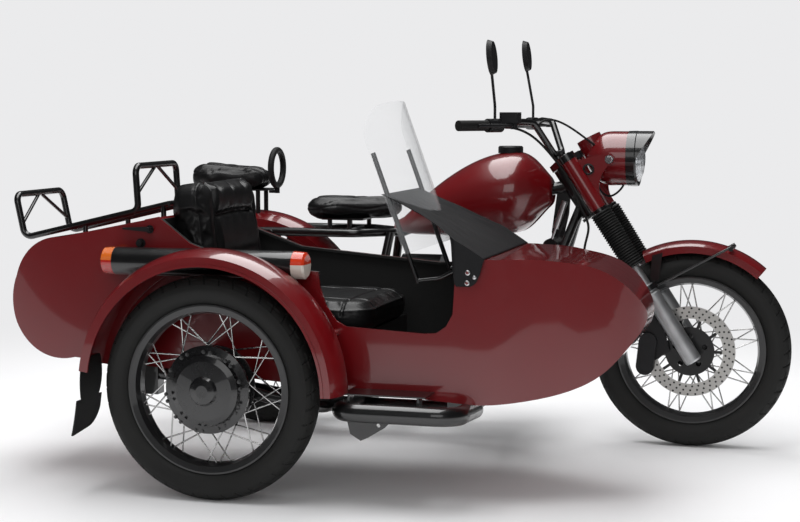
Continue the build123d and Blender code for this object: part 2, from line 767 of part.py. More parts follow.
with BuildPart() as gap_frame:
    add(lid_prism(lid_gap))
    add(lid_prism(0), mode=Mode.SUBTRACT)
    add(hull_outer, mode=Mode.INTERSECT)
gap_room = gap_frame.part
lid_hinge, body_hinge, pin_holes = [], [], []
for x in hinge_xs:
    at = Vector(x, hinge_y, lid_top(x) + hinge_lift)
    end = at + lid_dir * barrel_len
    start = at - lid_dir * barrel_gap
    far = start - lid_dir * barrel_len
    lid_hinge += [rod(at, end, barrel_r), rod(at + lid_dir, far - lid_dir * 2, pin_r), leaf(at, end, 22)]
    body_hinge += [rod(start, far, barrel_r), leaf(far, start, -14)]
    pin_holes.append(rod(at, far - lid_dir * 4, pin_r + seat_gap))
with BuildPart() as shell_with_hinges:
    add(body_shell.part)
    add(body_hinge)
    add(pin_holes, mode=Mode.SUBTRACT)
keep(shell_with_hinges.part, "body_shell")

with BuildPart() as boot_lid:
    add(hull_outer)
    add(hull_inner, mode=Mode.SUBTRACT)
    add(lid_prism(0), mode=Mode.INTERSECT)
    add(lid_hinge)
keep(boot_lid.part, "boot_lid")

# Luggage rack: each side is one tube, bent up from its rail into a loop at both ends,
# and two thinner tubes brace each loop from the middle of its top
rack_r = 10
rack_y = (body_y - body_half + 145, body_y + body_half - 145)
rack_slope = 0.235
rack_end = -604
# The rear and the front loop: x and z of the top, x at the rail, z where its braces end
rack_loops = [(-1114, 848, -1086, 757), (-711, 940, -703, 856)]


def rail_z(x):
    return 802 + (x + 718) * rack_slope


rack_pieces = []
(rear_x_top, rear_top, rear_foot, _), (front_x_top, front_top, front_foot, _) = rack_loops
for y in rack_y:
    rack_pieces.append(tube([
        (rear_x_top, body_y, rear_top), (rear_x_top, y, rear_top), (rear_foot, y, rail_z(rear_foot)),
        (front_foot, y, rail_z(front_foot)), (front_x_top, y, front_top), (front_x_top, body_y, front_top),
    ], rack_r, bend=26))
    rack_pieces.append(rod((front_foot - 30, y, rail_z(front_foot - 30)), (rack_end, y, rail_z(rack_end)), 8))
    for x in (-880, -620):
        rack_pieces.append(rod((x, y, lid_top(x) - 4), (x, y, rail_z(x)), 8))
    for x_top, top, foot, brace_z in rack_loops:
        x_end = foot + (x_top - foot) * (brace_z - rail_z(foot)) / (top - rail_z(foot))
        rack_pieces.append(rod((x_top, body_y, top), (x_end, y, brace_z), 5.5))
rack_pieces.append(rod((rack_end, rack_y[0], rail_z(rack_end)), (rack_end, rack_y[1], rail_z(rack_end)), 8))
with BuildPart() as luggage_rack:
    add(rack_pieces)
    add(hull_outer, mode=Mode.SUBTRACT)
keep(luggage_rack.part, "luggage_rack")

# Two latches on the trunk's right side: a long handle on a knob, and a lock below it
side_y = body_y - body_half - seat_gap
with BuildPart() as trunk_latches:
    with BuildSketch(Plane(origin=(0, side_y - 9, 0), x_dir=(1, 0, 0), z_dir=(0, -1, 0))):
        with BuildLine():
            Polyline((-681, 766), (-608, 770), (-588, 768), (-588, 757), (-608, 755), (-681, 761), close=True)
        make_face()
    extrude(amount=6)
    for at, radius, reach in (((-599, 762), 7, 22), ((-599, 762), 12, 4), ((-628, 721), 14, 3), ((-628, 721), 9, 18)):
        with BuildSketch(Plane(origin=(at[0], side_y, at[1]), x_dir=(1, 0, 0), z_dir=(0, -1, 0))):
            Circle(radius)
        extrude(amount=reach)
keep(trunk_latches.part, "trunk_latches")

# Sidecar mudguard, its flap, and the lamp tube behind it
tube_lamp_r = 40.5
lamp_tube_y = body_y - body_half - tube_lamp_r - 2
lamp_tube_z = 672
lamp_tube_x = (-686, -136)
fender_crown = 400
fender_lip = 352
lamp_solid = rod((lamp_tube_x[0], lamp_tube_y, lamp_tube_z), (lamp_tube_x[1], lamp_tube_y, lamp_tube_z), tube_lamp_r)
lamp_room = rod((-760, lamp_tube_y, lamp_tube_z), (-60, lamp_tube_y, lamp_tube_z), tube_lamp_r + 2)
fender_wall = 3
fender_end = 173.5
fender_ring = arch(sc_hub, fender_crown, fender_lip, fender_half, fender_wall, 0, fender_end)
fender_lugs = []
for angle in (25, 150):
    x = sc_x + (fender_crown - 30) * math.cos(math.radians(angle))
    z = tyre_r + (fender_crown - 30) * math.sin(math.radians(angle))
    fender_lugs.append(rod((x, sc_y + fender_half - 4, z), (x, side_y, z), 12))
with BuildPart() as sidecar_fender:
    add(fender_ring)
    add(fender_lugs)
    add(lamp_room, mode=Mode.SUBTRACT)
keep(sidecar_fender.part, "sidecar_fender")
lamp_pads = [
    block((x, lamp_tube_y + 20, lamp_tube_z - 16), (x + 40, side_y, lamp_tube_z + 16))
    for x in (-660, -204)
]
with BuildPart() as lamp_tube:
    add(lamp_solid)
    add(lamp_pads)
keep(lamp_tube.part, "lamp_tube")
lamp_ends = []
for x, way in ((lamp_tube_x[0], -1), (lamp_tube_x[1], 1)):
    lamp_ends.append(lathe_x([
        (x + way * seat_gap, 0), (x + way * seat_gap, tube_lamp_r), (x + way * 33, tube_lamp_r - 2),
        (x + way * 38, tube_lamp_r - 9), (x + way * 39, 0),
    ], Vector(0, lamp_tube_y, lamp_tube_z)))
with BuildPart() as lamp_lenses:
    add(lamp_ends)
keep(lamp_lenses.part, "lamp_lenses")
# The flap hangs inside the mudguard's end, so what lies past its inner surface is cut away
flap_half = fender_half - 3
side_r, skirt = guard_sizes(fender_crown, fender_lip, fender_half)
inner_r = side_r - fender_wall - seat_gap
inner_half = skirt - fender_wall - seat_gap
flap_plane = Plane(origin=sc_hub, x_dir=(-1, 0, 0), z_dir=(0, 0, 1))
with BuildPart() as past_guard:
    with BuildSketch(flap_plane):
        with BuildLine():
            ThreePointArc((inner_r, -inner_half), (fender_crown - fender_wall - seat_gap, 0), (inner_r, inner_half))
            Polyline((inner_r, inner_half), (fender_lip - 30, inner_half), (fender_lip - 30, 100),
                     (fender_crown + 60, 100), (fender_crown + 60, -100), (fender_lip - 30, -100),
                     (fender_lip - 30, -inner_half), (inner_r, -inner_half))
        make_face()
    revolve(axis=Axis(sc_hub, (0, 1, 0)), revolution_arc=30)
past_end = past_guard.part.rotate(Axis(sc_hub, (0, 1, 0)), fender_end - 180)
with BuildPart() as mudflap:
    with BuildSketch(Plane(origin=(0, sc_y, 0), x_dir=(1, 0, 0), z_dir=(0, -1, 0))):
        with BuildLine():
            flap_front = ThreePointArc((-741, 398), (-745, 290), (-764, 175))
            flap_back = ThreePointArc((-746, 398), (-750, 290), (-769, 175))
            Line(flap_front @ 0, flap_back @ 0)
            Line(flap_front @ 1, flap_back @ 1)
        make_face()
    extrude(amount=flap_half, both=True)
    with BuildSketch(Plane(origin=(-800, sc_y, 0), x_dir=(0, 1, 0), z_dir=(1, 0, 0))):
        with BuildLine():
            Polyline((-flap_half - 1, 420), (-flap_half - 1, 174), (flap_half - 56, 186))
            ThreePointArc((flap_half - 56, 186), (flap_half - 12, 212), (flap_half + 1, 262))
            Polyline((flap_half + 1, 262), (flap_half + 1, 420), (-flap_half - 1, 420))
        make_face()
    extrude(amount=100, mode=Mode.INTERSECT)
    add(past_end, mode=Mode.SUBTRACT)
keep(mudflap.part, "mudflap")

# Windscreen: a bent sheet that leans back, held by two rods
screen_base = Vector(161, body_y, 670)
screen_up = Vector(-0.342, 0, 0.940)
screen_fwd = Vector(0.940, 0, 0.342)
screen_plane = Plane(origin=screen_base, x_dir=screen_fwd, z_dir=screen_up)
screen_t = 4
screen_half = 205
screen_sag = 80
screen_h = 466
rod_r = 7
rod_y = 187
screen_r = (screen_half ** 2 + screen_sag ** 2) / (2 * screen_sag)
screen_centre = screen_sag - 2 - screen_r
rod_ahead = screen_centre + math.sqrt((screen_r - rod_r - seat_gap) ** 2 - rod_y ** 2)
with BuildPart() as windscreen:
    with BuildSketch(screen_plane.offset(30)):
        with Locations((screen_centre, 0)):
            Circle(screen_r + screen_t)
            Circle(screen_r, mode=Mode.SUBTRACT)
    extrude(amount=screen_h - 30)
    with BuildSketch(Plane(origin=screen_base - screen_fwd * 8, x_dir=(0, 1, 0), z_dir=screen_fwd)):
        with Locations((0, screen_h / 2 - 50)):
            RectangleRounded(2 * screen_half, screen_h + 100, 90)
    extrude(amount=200, mode=Mode.INTERSECT)
keep(windscreen.part, "windscreen")
rod_list = []
for side in (-1, 1):
    y = body_y + side * rod_y
    foot = screen_base + screen_fwd * rod_ahead - screen_up * 60
    head = screen_base + screen_fwd * rod_ahead + screen_up * 335
    rod_list.append(rod((foot.X, y, foot.Z), (head.X, y, head.Z), rod_r))
    rod_list.append(tube([
        (foot.X - 1, y, foot.Z + 8), (250, y, 632), (cowl_x - seat_gap, y, cowl_z - 30),
    ], 6, bend=60))
with BuildPart() as screen_rods:
    add(rod_list)
    add(windscreen.part, mode=Mode.SUBTRACT)
    add(shell_with_hinges.part, mode=Mode.SUBTRACT)
keep(screen_rods.part, "screen_rods")

# Apron: a sloping sheet from the screen down to the cowl, with a flap over each side of the body
apron_half = body_half + seat_gap + 3
cover_z = cowl_z + seat_gap
with BuildPart() as apron_sheet:
    with BuildSketch(Plane(origin=(0, body_y, 0), x_dir=(1, 0, 0), z_dir=(0, -1, 0))):
        with BuildLine():
            over = ThreePointArc((80, 868), (262, 783), (404, cover_z))
            under = ThreePointArc((80, 861), (256, 778), (390, cover_z))
            Line(over @ 0, under @ 0)
            Line(over @ 1, under @ 1)
        make_face()
    extrude(amount=apron_half, both=True)
    with BuildSketch(Plane.XY.offset(600)):
        with BuildLine():
            edge = ThreePointArc((80, body_y - 200), (222, body_y - 226), (316, body_y - apron_half))
            other = ThreePointArc((80, body_y + 200), (222, body_y + 226), (316, body_y + apron_half))
            Polyline(edge @ 1, (420, body_y - apron_half), (420, body_y + apron_half), other @ 1)
            Line(edge @ 0, other @ 0)
        make_face()
    extrude(amount=400, mode=Mode.INTERSECT)
flaps = []
for side in (-1, 1):
    with BuildPart() as flap:
        with BuildSketch(Plane(origin=(0, body_y + side * (body_half + seat_gap), 0), x_dir=(1, 0, 0), z_dir=(0, -1, 0))):
            with BuildLine():
                Polyline((316, 745), (398, cover_z + 1), (392, 655), (376, 627), (366, 621), (322, 621), (316, 628),
                         close=True)
            make_face()
        extrude(amount=-side * 3)
    flaps.append(flap.part)
with BuildPart() as glass_room:
    with BuildSketch(screen_plane.offset(-60)):
        with Locations((screen_centre, 0)):
            Circle(screen_r + screen_t + seat_gap)
    extrude(amount=600)
with BuildPart() as apron:
    add(apron_sheet.part)
    add(flaps)
    add(glass_room.part, mode=Mode.SUBTRACT)
keep(apron.part, "apron")

# Seats of the sidecar: a base box, a cushion and a leaning back
def floor_at(x):
    """The top of the sidecar's floor panel."""
    return floor_under(x) + body_wall


with BuildPart() as seat_base:
    with BuildSketch(Plane(origin=(0, body_y, 0), x_dir=(1, 0, 0), z_dir=(0, -1, 0))):
        with BuildLine():
            Polyline((-530, floor_at(-530) + seat_gap), (30, floor_at(30) + seat_gap), (30, 468), (-530, 468), close=True)
        make_face()
    extrude(amount=240, both=True)
    with BuildSketch(Plane(origin=(0, body_y, 0), x_dir=(1, 0, 0), z_dir=(0, -1, 0))):
        with BuildLine():
            Polyline((-522, 300), (22, 300), (22, 460), (-522, 460), close=True)
        make_face()
    extrude(amount=232, both=True, mode=Mode.SUBTRACT)
keep(seat_base.part, "seat_base")
keep(block((-530, body_y - 250, 468 + seat_gap), (66, body_y + 250, 562), 40), "seat_cushion")
with BuildPart() as seat_back:
    with BuildSketch(Plane(origin=(0, body_y, 0), x_dir=(1, 0, 0), z_dir=(0, -1, 0))):
        with BuildLine():
            Polyline((-525, 562.3), (-437, 562.3), (-468, 880), (-490, 906), (-530, 906), (-556, 880), close=True)
        make_face()
    extrude(amount=240, both=True)
    fillet(seat_back.edges().filter_by(Axis.Y), 12)
keep(seat_back.part, "seat_back")

# Sidecar frame: two rails and cross tubes under the body, the axle, and the step
frame_r = 20
cradle_y = 118
rail_y = (body_y - 190, body_y + 222)
rail_low = 258
frame_pieces = []
for y in rail_y:
    frame_pieces.append(tube([(-700, y, 330), (-420, y, 300), (-120, y, rail_low), (356, y, rail_low)], frame_r, bend=120))
link_y = body_y + body_half + 33
for x, z, y_end in ((340, rail_low, link_y), (0, rail_low, rail_y[1]), (-420, 300, link_y), (-650, 324, rail_y[1])):
    frame_pieces.append(rod((x, rail_y[0], z), (x, y_end, z), frame_r - 2))
mounts_up = [
    block((x - 22, y - 22, rail_low), (x + 22, y + 22, 400))
    for x in (300, -90, -640) for y in rail_y
]
step_y = bike_y - 1150
step_r = 26.5
step_z = 274
step = tube([
    (10, rail_y[0], rail_low), (10, step_y, step_z), (352, step_y, step_z), (352, rail_y[0], rail_low),
], step_r, bend=62)
tread = block((20, step_y + 22, 318), (262, body_y - body_half - seat_gap, 322))
tread_legs = [
    block((x - 3, step_y + 24, step_z - 10), (x + 3, step_y + 60, 319)) for x in (40, 240)
]
gusset_y = step_y + 8
with BuildPart() as gusset:
    with BuildSketch(Plane(origin=(0, gusset_y, 0), x_dir=(1, 0, 0), z_dir=(0, -1, 0))):
        with BuildLine():
            Polyline((40, 262), (52, 214), (82, 196), (104, 206), (152, 236), (176, 262), close=True)
        make_face()
        with Locations((133, 241)):
            Circle(6, mode=Mode.SUBTRACT)
    extrude(amount=8)
arm_y = sc_y + 72
arm = tube([(-40, rail_y[0], rail_low + 2), (-60, arm_y + 2, 268), (-220, arm_y, 290), (sc_x + 2, arm_y, tyre_r)], 17, bend=34)
sc_axle = rod((sc_x, sc_y - 56, tyre_r), (sc_x, arm_y + 16, tyre_r), axle_r)
arm_boss = rod((sc_x, sc_y + 48, tyre_r), (sc_x, arm_y + 12, tyre_r), 30)
# Four links tie the frame to the motorcycle
link_r = 14
link_list = [
    rod((340, link_y - 8, rail_low), (300, bike_y - cradle_y, 214), link_r),
    rod((-420, link_y - 8, 300), (-205, bike_y - cradle_y, 300), link_r),
    rod((340, link_y - 8, rail_low), (400, bike_y - 100, 500), link_r),
    rod((-420, link_y - 8, 300), (-330, bike_y - cradle_y, 590), link_r),
]
hull_lowered = hull_outer.moved(Location((0, 0, -seat_gap)))
with BuildPart() as sidecar_frame:
    add(frame_pieces)
    add(mounts_up)
    add(step)
    add(tread)
    add(tread_legs)
    add(gusset.part)
    add(arm)
    add(arm_boss)
    add(sc_axle)
    add(link_list)
    add(hull_lowered, mode=Mode.SUBTRACT)
keep(sidecar_frame.part, "sidecar_frame")

# Motorcycle frame: a duplex cradle of round tube
tube_r = 15
bike_tubes = [rod(on_stem(gaiter_top + 14), on_stem(shroud_top - 1), head_r)]
bike_tubes.append(tube([
    tuple(on_stem(670)), (40, bike_y, 756), (-130, bike_y, 690),
], 20, bend=120))
for side in (-1, 1):
    y = bike_y + side * cradle_y
    bike_tubes.append(tube([
        tuple(on_stem(600) - fork_ahead * 6), (430, bike_y + side * 80, 600), (350, y, 235), (290, y, 205),
        (-150, y, 205), (-215, y, 330), (-150, bike_y + side * 60, 690),
    ], tube_r, bend=38))
    bike_tubes.append(tube([(-140, bike_y + side * 20, 690), (-260, y, 690), (-620, y, 690)], tube_r, bend=60))
    bike_tubes.append(rod((-215, y, 340), (-560, y, 690), 12))
for x, z in ((-600, 690), (-300, 690)):
    bike_tubes.append(rod((x, bike_y - cradle_y, z), (x, bike_y + cradle_y, z), 10))
for x, z in ((290, 205), (-140, 205)):
    bike_tubes.append(rod((x, bike_y - cradle_y, z), (x, bike_y + cradle_y, z), 12))
with BuildPart() as head_gusset:
    with BuildSketch(Plane(origin=(0, bike_y, 0), x_dir=(1, 0, 0), z_dir=(0, -1, 0))):
        with BuildLine():
            Polyline((462, 846), (456, 760), (440, 690), (424, 610), (404, 640), (398, 700), (416, 838), close=True)
        make_face()
    extrude(amount=4, both=True)
bike_tubes.append(head_gusset.part)
bike_tubes.append(rod((404, bike_y - 62, 655), (404, bike_y + 62, 655), 26))
stem_bore = rod(on_stem(gaiter_top - 5), on_stem(shroud_top + 20), stem_r + seat_gap)
rear_guard_hub = rear_hub + Vector(-30, 0, 25)
rear_guard_half = 76


rear_crown = 410
rear_lip = 350
rear_guard_room = guard_room(rear_guard_hub, rear_crown, rear_lip, rear_guard_half)
with BuildPart() as bike_frame:
    add(bike_tubes)
    add(link_list, mode=Mode.SUBTRACT)
    add(stem_bore, mode=Mode.SUBTRACT)
keep(bike_frame.part, "bike_frame")

# Damper ahead of the tank: a bright cylinder on a lug of the frame's head, its rod ending at the coil
damper_y = bike_y - 58
damper_top = Vector(452, damper_y, 806)
damper_low = Vector(421, damper_y, 716)
damper_dir = (damper_top - damper_low).normalized()
with BuildPart() as steering_damper:
    add(rod(damper_low, damper_top, 10))
    add(rod(damper_low - damper_dir * 74, damper_low, 4))
    add(rod((444, damper_y, 796), (444, bike_y - 4 - seat_gap, 796), 6))
    add(bike_frame.part, mode=Mode.SUBTRACT)
keep(steering_damper.part, "steering_damper")

# Rear mudguard, frame-mounted, with the lamp and the blank plate's holder
guard_ring = arch(rear_guard_hub, rear_crown, rear_lip, rear_guard_half, 3, 18, 172)
with BuildPart() as rear_fender:
    add(guard_ring)
    add(bike_frame.part, mode=Mode.SUBTRACT)
keep(rear_fender.part, "rear_fender")

tail_end = rear_x - rear_overhang
tail_body = lathe_x([
    (-960, 0), (-960, 24), (tail_end + 110, 28), (tail_end + 82, 42), (tail_end + 40, 46),
    (tail_end + 8, 40), (tail_end, 24), (tail_end, 0),
], Vector(0, bike_y, 600))
plate_x = -1112
plate_z = 480
plate_arm = rod((-1000, bike_y, plate_z), (plate_x, bike_y, plate_z), 8)
with BuildPart() as tail_lamp:
    add(tail_body)
    add(rear_guard_room, mode=Mode.SUBTRACT)
keep(tail_lamp.part, "tail_lamp")
with BuildPart() as plate_holder:
    with BuildSketch(Plane(origin=(plate_x, bike_y, plate_z), x_dir=(0, 1, 0), z_dir=(-1, 0, 0))):
        RectangleRounded(200, 130, 10)
        with Locations((-60, 0), (60, 0)):
            Circle(3.5, mode=Mode.SUBTRACT)
    extrude(amount=3)
    add(plate_arm)
    add(rear_guard_room, mode=Mode.SUBTRACT)
keep(plate_holder.part, "plate_holder")

# Swinging arm, its axle, the bevel drive on the right and the two dampers
arm_half = 84
swing = []
for side in (-1, 1):
    swing.append(rod((-228, bike_y + side * arm_half, 330), (rear_x, bike_y + side * arm_half, tyre_r), 17))
swing.append(rod((-215, bike_y - cradle_y + 16, 330), (-215, bike_y + cradle_y - 16, 330), 20))
swing.append(rod((-290, bike_y - arm_half, 330), (-290, bike_y + arm_half, 330), 12))
drive_outline = [(0, -56), (96, -56), (104, -64), (96, -92), (60, -108), (0, -112)]
drive = lathe(rear_hub, drive_outline)
rear_axle = rod((rear_x, bike_y - 124, tyre_r), (rear_x, bike_y + 124, tyre_r), axle_r)
with BuildPart() as swingarm:
    add(swing)
    add(drive, mode=Mode.SUBTRACT)
    add(rear_axle)
    add(bike_frame.part, mode=Mode.SUBTRACT)
keep(swingarm.part, "swingarm")
with BuildPart() as final_drive:
    add(drive)
    add(rear_axle, mode=Mode.SUBTRACT)
keep(final_drive.part, "final_drive")
shock_list = []
for side in (-1, 1):
    y = bike_y + side * 142
    low = Vector(-620, y, 372)
    high = Vector(-560, y, 690)
    run = (high - low).normalized()
    shock_list.append(rod(low, high, 9))
    shock_list.append(rod(low + run * 120, high - run * 14, 30))
    shock_list.append(rod(low + run * 20, low + run * 122, 22))
    shock_list.append(rod((high.X, y, high.Z), (high.X, bike_y + side * (cradle_y + 15.3), high.Z), 8))
    shock_list.append(rod((low.X, y, low.Z), (low.X, bike_y + side * (arm_half + 12), low.Z), 8))
    shock_list.append(rod((low.X, bike_y + side * (arm_half + 12), low.Z), (low.X, bike_y + side * (arm_half + 12), 335), 8))
with BuildPart() as rear_shocks:
    add(shock_list)
    add(swingarm.part, mode=Mode.SUBTRACT)
    add(final_drive.part, mode=Mode.SUBTRACT)
    add(bike_frame.part, mode=Mode.SUBTRACT)
keep(rear_shocks.part, "rear_shocks")

# Engine: a heavy case with flat-twin cylinders, finned, and a gearbox behind
crank_x = 196
crank_z = 400
case_half = 96
dynamo = rod((110, bike_y, 548), (312, bike_y, 548), 50)
with BuildPart() as engine_case:
    with BuildSketch(Plane(origin=(0, bike_y, 0), x_dir=(1, 0, 0), z_dir=(0, -1, 0))):
        with BuildLine():
            Polyline((66, 236), (290, 236), (322, 290), (322, 470), (290, 520), (120, 520), (66, 480), close=True)
        make_face()
    extrude(amount=case_half, both=True)
    with BuildSketch(Plane(origin=(0, bike_y, 0), x_dir=(1, 0, 0), z_dir=(0, -1, 0))):
        with BuildLine():
            Polyline((-150, 300), (66, 270), (66, 480), (-60, 470), (-150, 400), close=True)
        make_face()
    extrude(amount=80, both=True)
    add(dynamo)
    add(bike_frame.part, mode=Mode.SUBTRACT)
    add(swingarm.part, mode=Mode.SUBTRACT)
keep(engine_case.part, "engine_case")

# Cylinders: a finned barrel, a finned head and a rounded cover on each side
barrel_reach = 250
head_reach = barrel_reach + 72
cover_reach = head_reach + 44
port_y = head_reach - 36
fin_r = 78
fin_t = 3
fin_pitch = 10


def lathe_y(outline, centre, side):
    """A piece turned about an axis across the machine: points are (radius, reach)."""
    return lathe(centre, [(r, side * reach) for r, reach in outline])


cylinder_list = []
for side in (-1, 1):
    at = Vector(crank_x, bike_y, crank_z)
    outline = [(0, case_half + seat_gap), (62, case_half + seat_gap)]
    reach = case_half + 14
    while reach < barrel_reach - fin_pitch:
        outline += [(54, reach), (fin_r, reach), (fin_r, reach + fin_t), (54, reach + fin_t)]
        reach += fin_pitch
    outline += [(54, barrel_reach), (0, barrel_reach)]
    cylinder_list.append(lathe_y(outline, at, side))
    outline = [(0, barrel_reach - 1)]
    reach = barrel_reach
    while reach < head_reach - fin_pitch:
        outline += [(66, reach), (fin_r + 4, reach), (fin_r + 4, reach + fin_t), (66, reach + fin_t)]
        reach += fin_pitch
    outline += [(70, head_reach - 6), (70, head_reach), (0, head_reach)]
    cylinder_list.append(lathe_y(outline, at, side))
    with BuildPart() as cover:
        with BuildSketch(Plane(origin=(crank_x, bike_y + side * head_reach, crank_z), x_dir=(1, 0, 0), z_dir=(0, side, 0))):
            RectangleRounded(132, 150, 40)
        extrude(amount=cover_reach - head_reach, taper=12)
    cylinder_list.append(cover.part)
with BuildPart() as cylinders:
    add(cylinder_list)
    add(engine_case.part, mode=Mode.SUBTRACT)
keep(cylinders.part, "cylinders")

# Intake and exhaust
intake_list = []
for side in (-1, 1):
    y = bike_y + side * port_y
    intake_list.append(rod((crank_x - 60, y, 440), (crank_x - 98, y, 446), 24))
    intake_list.append(rod((crank_x - 98, y, 446), (crank_x - 180, y, 452), 32))
    intake_list.append(tube([
        (crank_x - 180, y, 452), (crank_x - 250, y, 456), (-90, bike_y + side * 80, 530), (-70, bike_y, 548),
    ], 22, bend=45))
filter_case = rod((-120, bike_y, 552), (20, bike_y, 552), 62)
with BuildPart() as intake:
    add(intake_list)
    add(filter_case)
    add(cylinders.part, mode=Mode.SUBTRACT)
    add(engine_case.part, mode=Mode.SUBTRACT)
    add(bike_frame.part, mode=Mode.SUBTRACT)
keep(intake.part, "intake")
exhaust_list = []
for side in (-1, 1):
    exhaust_list.append(tube([
        (crank_x + 50, bike_y + side * port_y, 386), (crank_x + 128, bike_y + side * port_y, 360),
        (crank_x + 128, bike_y + side * (port_y - 46), 222), (40, bike_y + side * 172, 205), (-150, bike_y + side * 172, 215),
    ], 19, bend=52))
    exhaust_list.append(rod((-150, bike_y + side * 172, 215), (-200, bike_y + side * 172, 220), 26))
    exhaust_list.append(rod((-200, bike_y + side * 172, 220), (-720, bike_y + side * 172, 262), 40))
    exhaust_list.append(rod((-720, bike_y + side * 172, 262), (-760, bike_y + side * 172, 265), 16))
    exhaust_list.append(block(
        (-190, min(bike_y + side * 132, bike_y + side * 160), 200),
        (-160, max(bike_y + side * 132, bike_y + side * 160), 212)))
with BuildPart() as exhaust:
    add(exhaust_list)
    add(cylinders.part, mode=Mode.SUBTRACT)
    add(engine_case.part, mode=Mode.SUBTRACT)
    add(bike_frame.part, mode=Mode.SUBTRACT)
    add(link_list, mode=Mode.SUBTRACT)
keep(exhaust.part, "exhaust")

# Fuel tank: round sections lofted from a thin tail under the saddle's nose to a full front,
# slotted below for the frame's spine
tank_widen = 1.12
# Place along, height of the middle, half height
tank_sections = [
    (-146, 705, 25), (-90, 723, 43), (-16, 757, 78), (70, 789, 109), (149, 812, 128), (235, 827, 138),
    (300, 832, 133), (355, 836, 92), (387, 835, 58), (404, 834, 22),
]
with BuildPart() as tank_body:
    for x, z, half in tank_sections:
        with BuildSketch(Plane(origin=(x, bike_y, z), x_dir=(0, 1, 0), z_dir=(1, 0, 0))):
            Ellipse(half * tank_widen, half)
    loft()
cap_x = 255
cap_hole = rod((cap_x, bike_y, 930), (cap_x, bike_y, 1010), 30 + seat_gap)
slot_side = 26
with BuildPart() as slot:
    with BuildSketch(Plane(origin=(0, bike_y, 0), x_dir=(1, 0, 0), z_dir=(0, -1, 0))):
        with BuildLine():
            Polyline((-160, 600), (-160, 704), (-60, 745), (40, 784), (380, 856), (470, 880), (470, 600), close=True)
        make_face()
    extrude(amount=slot_side, both=True)
rider_low = 740
rider_high = 806
pillion_low = 832
pillion_high = 922
saddle_room = block((-200, bike_y - 90, rider_low - seat_gap), (-112, bike_y + 90, 800))
with BuildPart() as fuel_tank:
    add(tank_body.part)
    add(slot.part, mode=Mode.SUBTRACT)
    add(saddle_room, mode=Mode.SUBTRACT)
    add(cap_hole, mode=Mode.SUBTRACT)
    add(bike_frame.part, mode=Mode.SUBTRACT)
keep(fuel_tank.part, "fuel_tank")
with BuildPart() as tank_cap:
    with BuildSketch(Plane.XY.offset(935)):
        with Locations((cap_x, bike_y)):
            Circle(30)
    extrude(amount=28)
    with BuildSketch(Plane.XY.offset(963)):
        with Locations((cap_x, bike_y)):
            Circle(42)
    extrude(amount=24)
    chamfer(tank_cap.faces().sort_by(Axis.Z)[-1].edges(), 4)
    add(fuel_tank.part, mode=Mode.SUBTRACT)
keep(tank_cap.part, "tank_cap")


# Saddles: teardrop pads, broad behind and narrow in front
def saddle(x_rear, x_front, wide, narrow, low, high):
    with BuildPart() as pad:
        with BuildSketch(Plane.XY.offset(low)):
            with BuildLine():
                ThreePointArc((x_rear + 90, bike_y + wide), (x_rear, bike_y), (x_rear + 90, bike_y - wide))
                Line((x_rear + 90, bike_y - wide), (x_front - 60, bike_y - narrow))
                ThreePointArc((x_front - 60, bike_y - narrow), (x_front, bike_y), (x_front - 60, bike_y + narrow))
                Line((x_front - 60, bike_y + narrow), (x_rear + 90, bike_y + wide))
            make_face()
        extrude(amount=high - low)
        fillet(pad.faces().sort_by(Axis.Z)[-1].edges(), 16)
    return pad.part


keep(saddle(-466, -116, 138, 70, rider_low, rider_high), "rider_saddle")
keep(saddle(-890, -602, 132, 88, pillion_low, pillion_high), "passenger_saddle")

# Saddle brackets: a bridge for the rider's saddle, legs on the mudguard for the passenger's
bracket_list = [
    block((-380, bike_y - 125, rider_low - 6), (-230, bike_y + 125, rider_low - seat_gap), 12),
    block((-850, bike_y - 60, pillion_low - 6), (-610, bike_y + 60, pillion_low - seat_gap), 12),
]
for side in (-1, 1):
    for x in (-350, -280):
        bracket_list.append(rod((x, bike_y + side * 114, 692), (x, bike_y + side * 114, rider_low - 3), 8))
    for x in (-830, -640):
        bracket_list.append(rod((x, bike_y + side * 40, 700), (x, bike_y + side * 40, pillion_low - 3), 8))
with BuildPart() as saddle_brackets:
    add(bracket_list)
    add(bike_frame.part, mode=Mode.SUBTRACT)
    add(rear_guard_room, mode=Mode.SUBTRACT)
keep(saddle_brackets.part, "saddle_brackets")

# Grab loop in front of the passenger's saddle
loop_x = -583
loop_mid = 905
loop_r = 62
with BuildPart() as grab_loop:
    with BuildSketch(Plane(origin=(loop_x, bike_y, loop_mid + loop_r), x_dir=(1, 0, 0), z_dir=(0, 1, 0))):
        Circle(11)
    revolve(axis=Axis((loop_x, bike_y, loop_mid), (1, 0, 0)))
loop_post = [
    rod((loop_x, bike_y, loop_mid - loop_r), (loop_x, bike_y, pillion_low - 16), 9),
    rod((loop_x, bike_y, pillion_low - 10), (-612, bike_y, pillion_low - 10), 6),
]
with BuildPart() as grab_handle:
    add(grab_loop.part)
    add(loop_post)
    add(saddle_brackets.part, mode=Mode.SUBTRACT)
keep(grab_handle.part, "grab_handle")

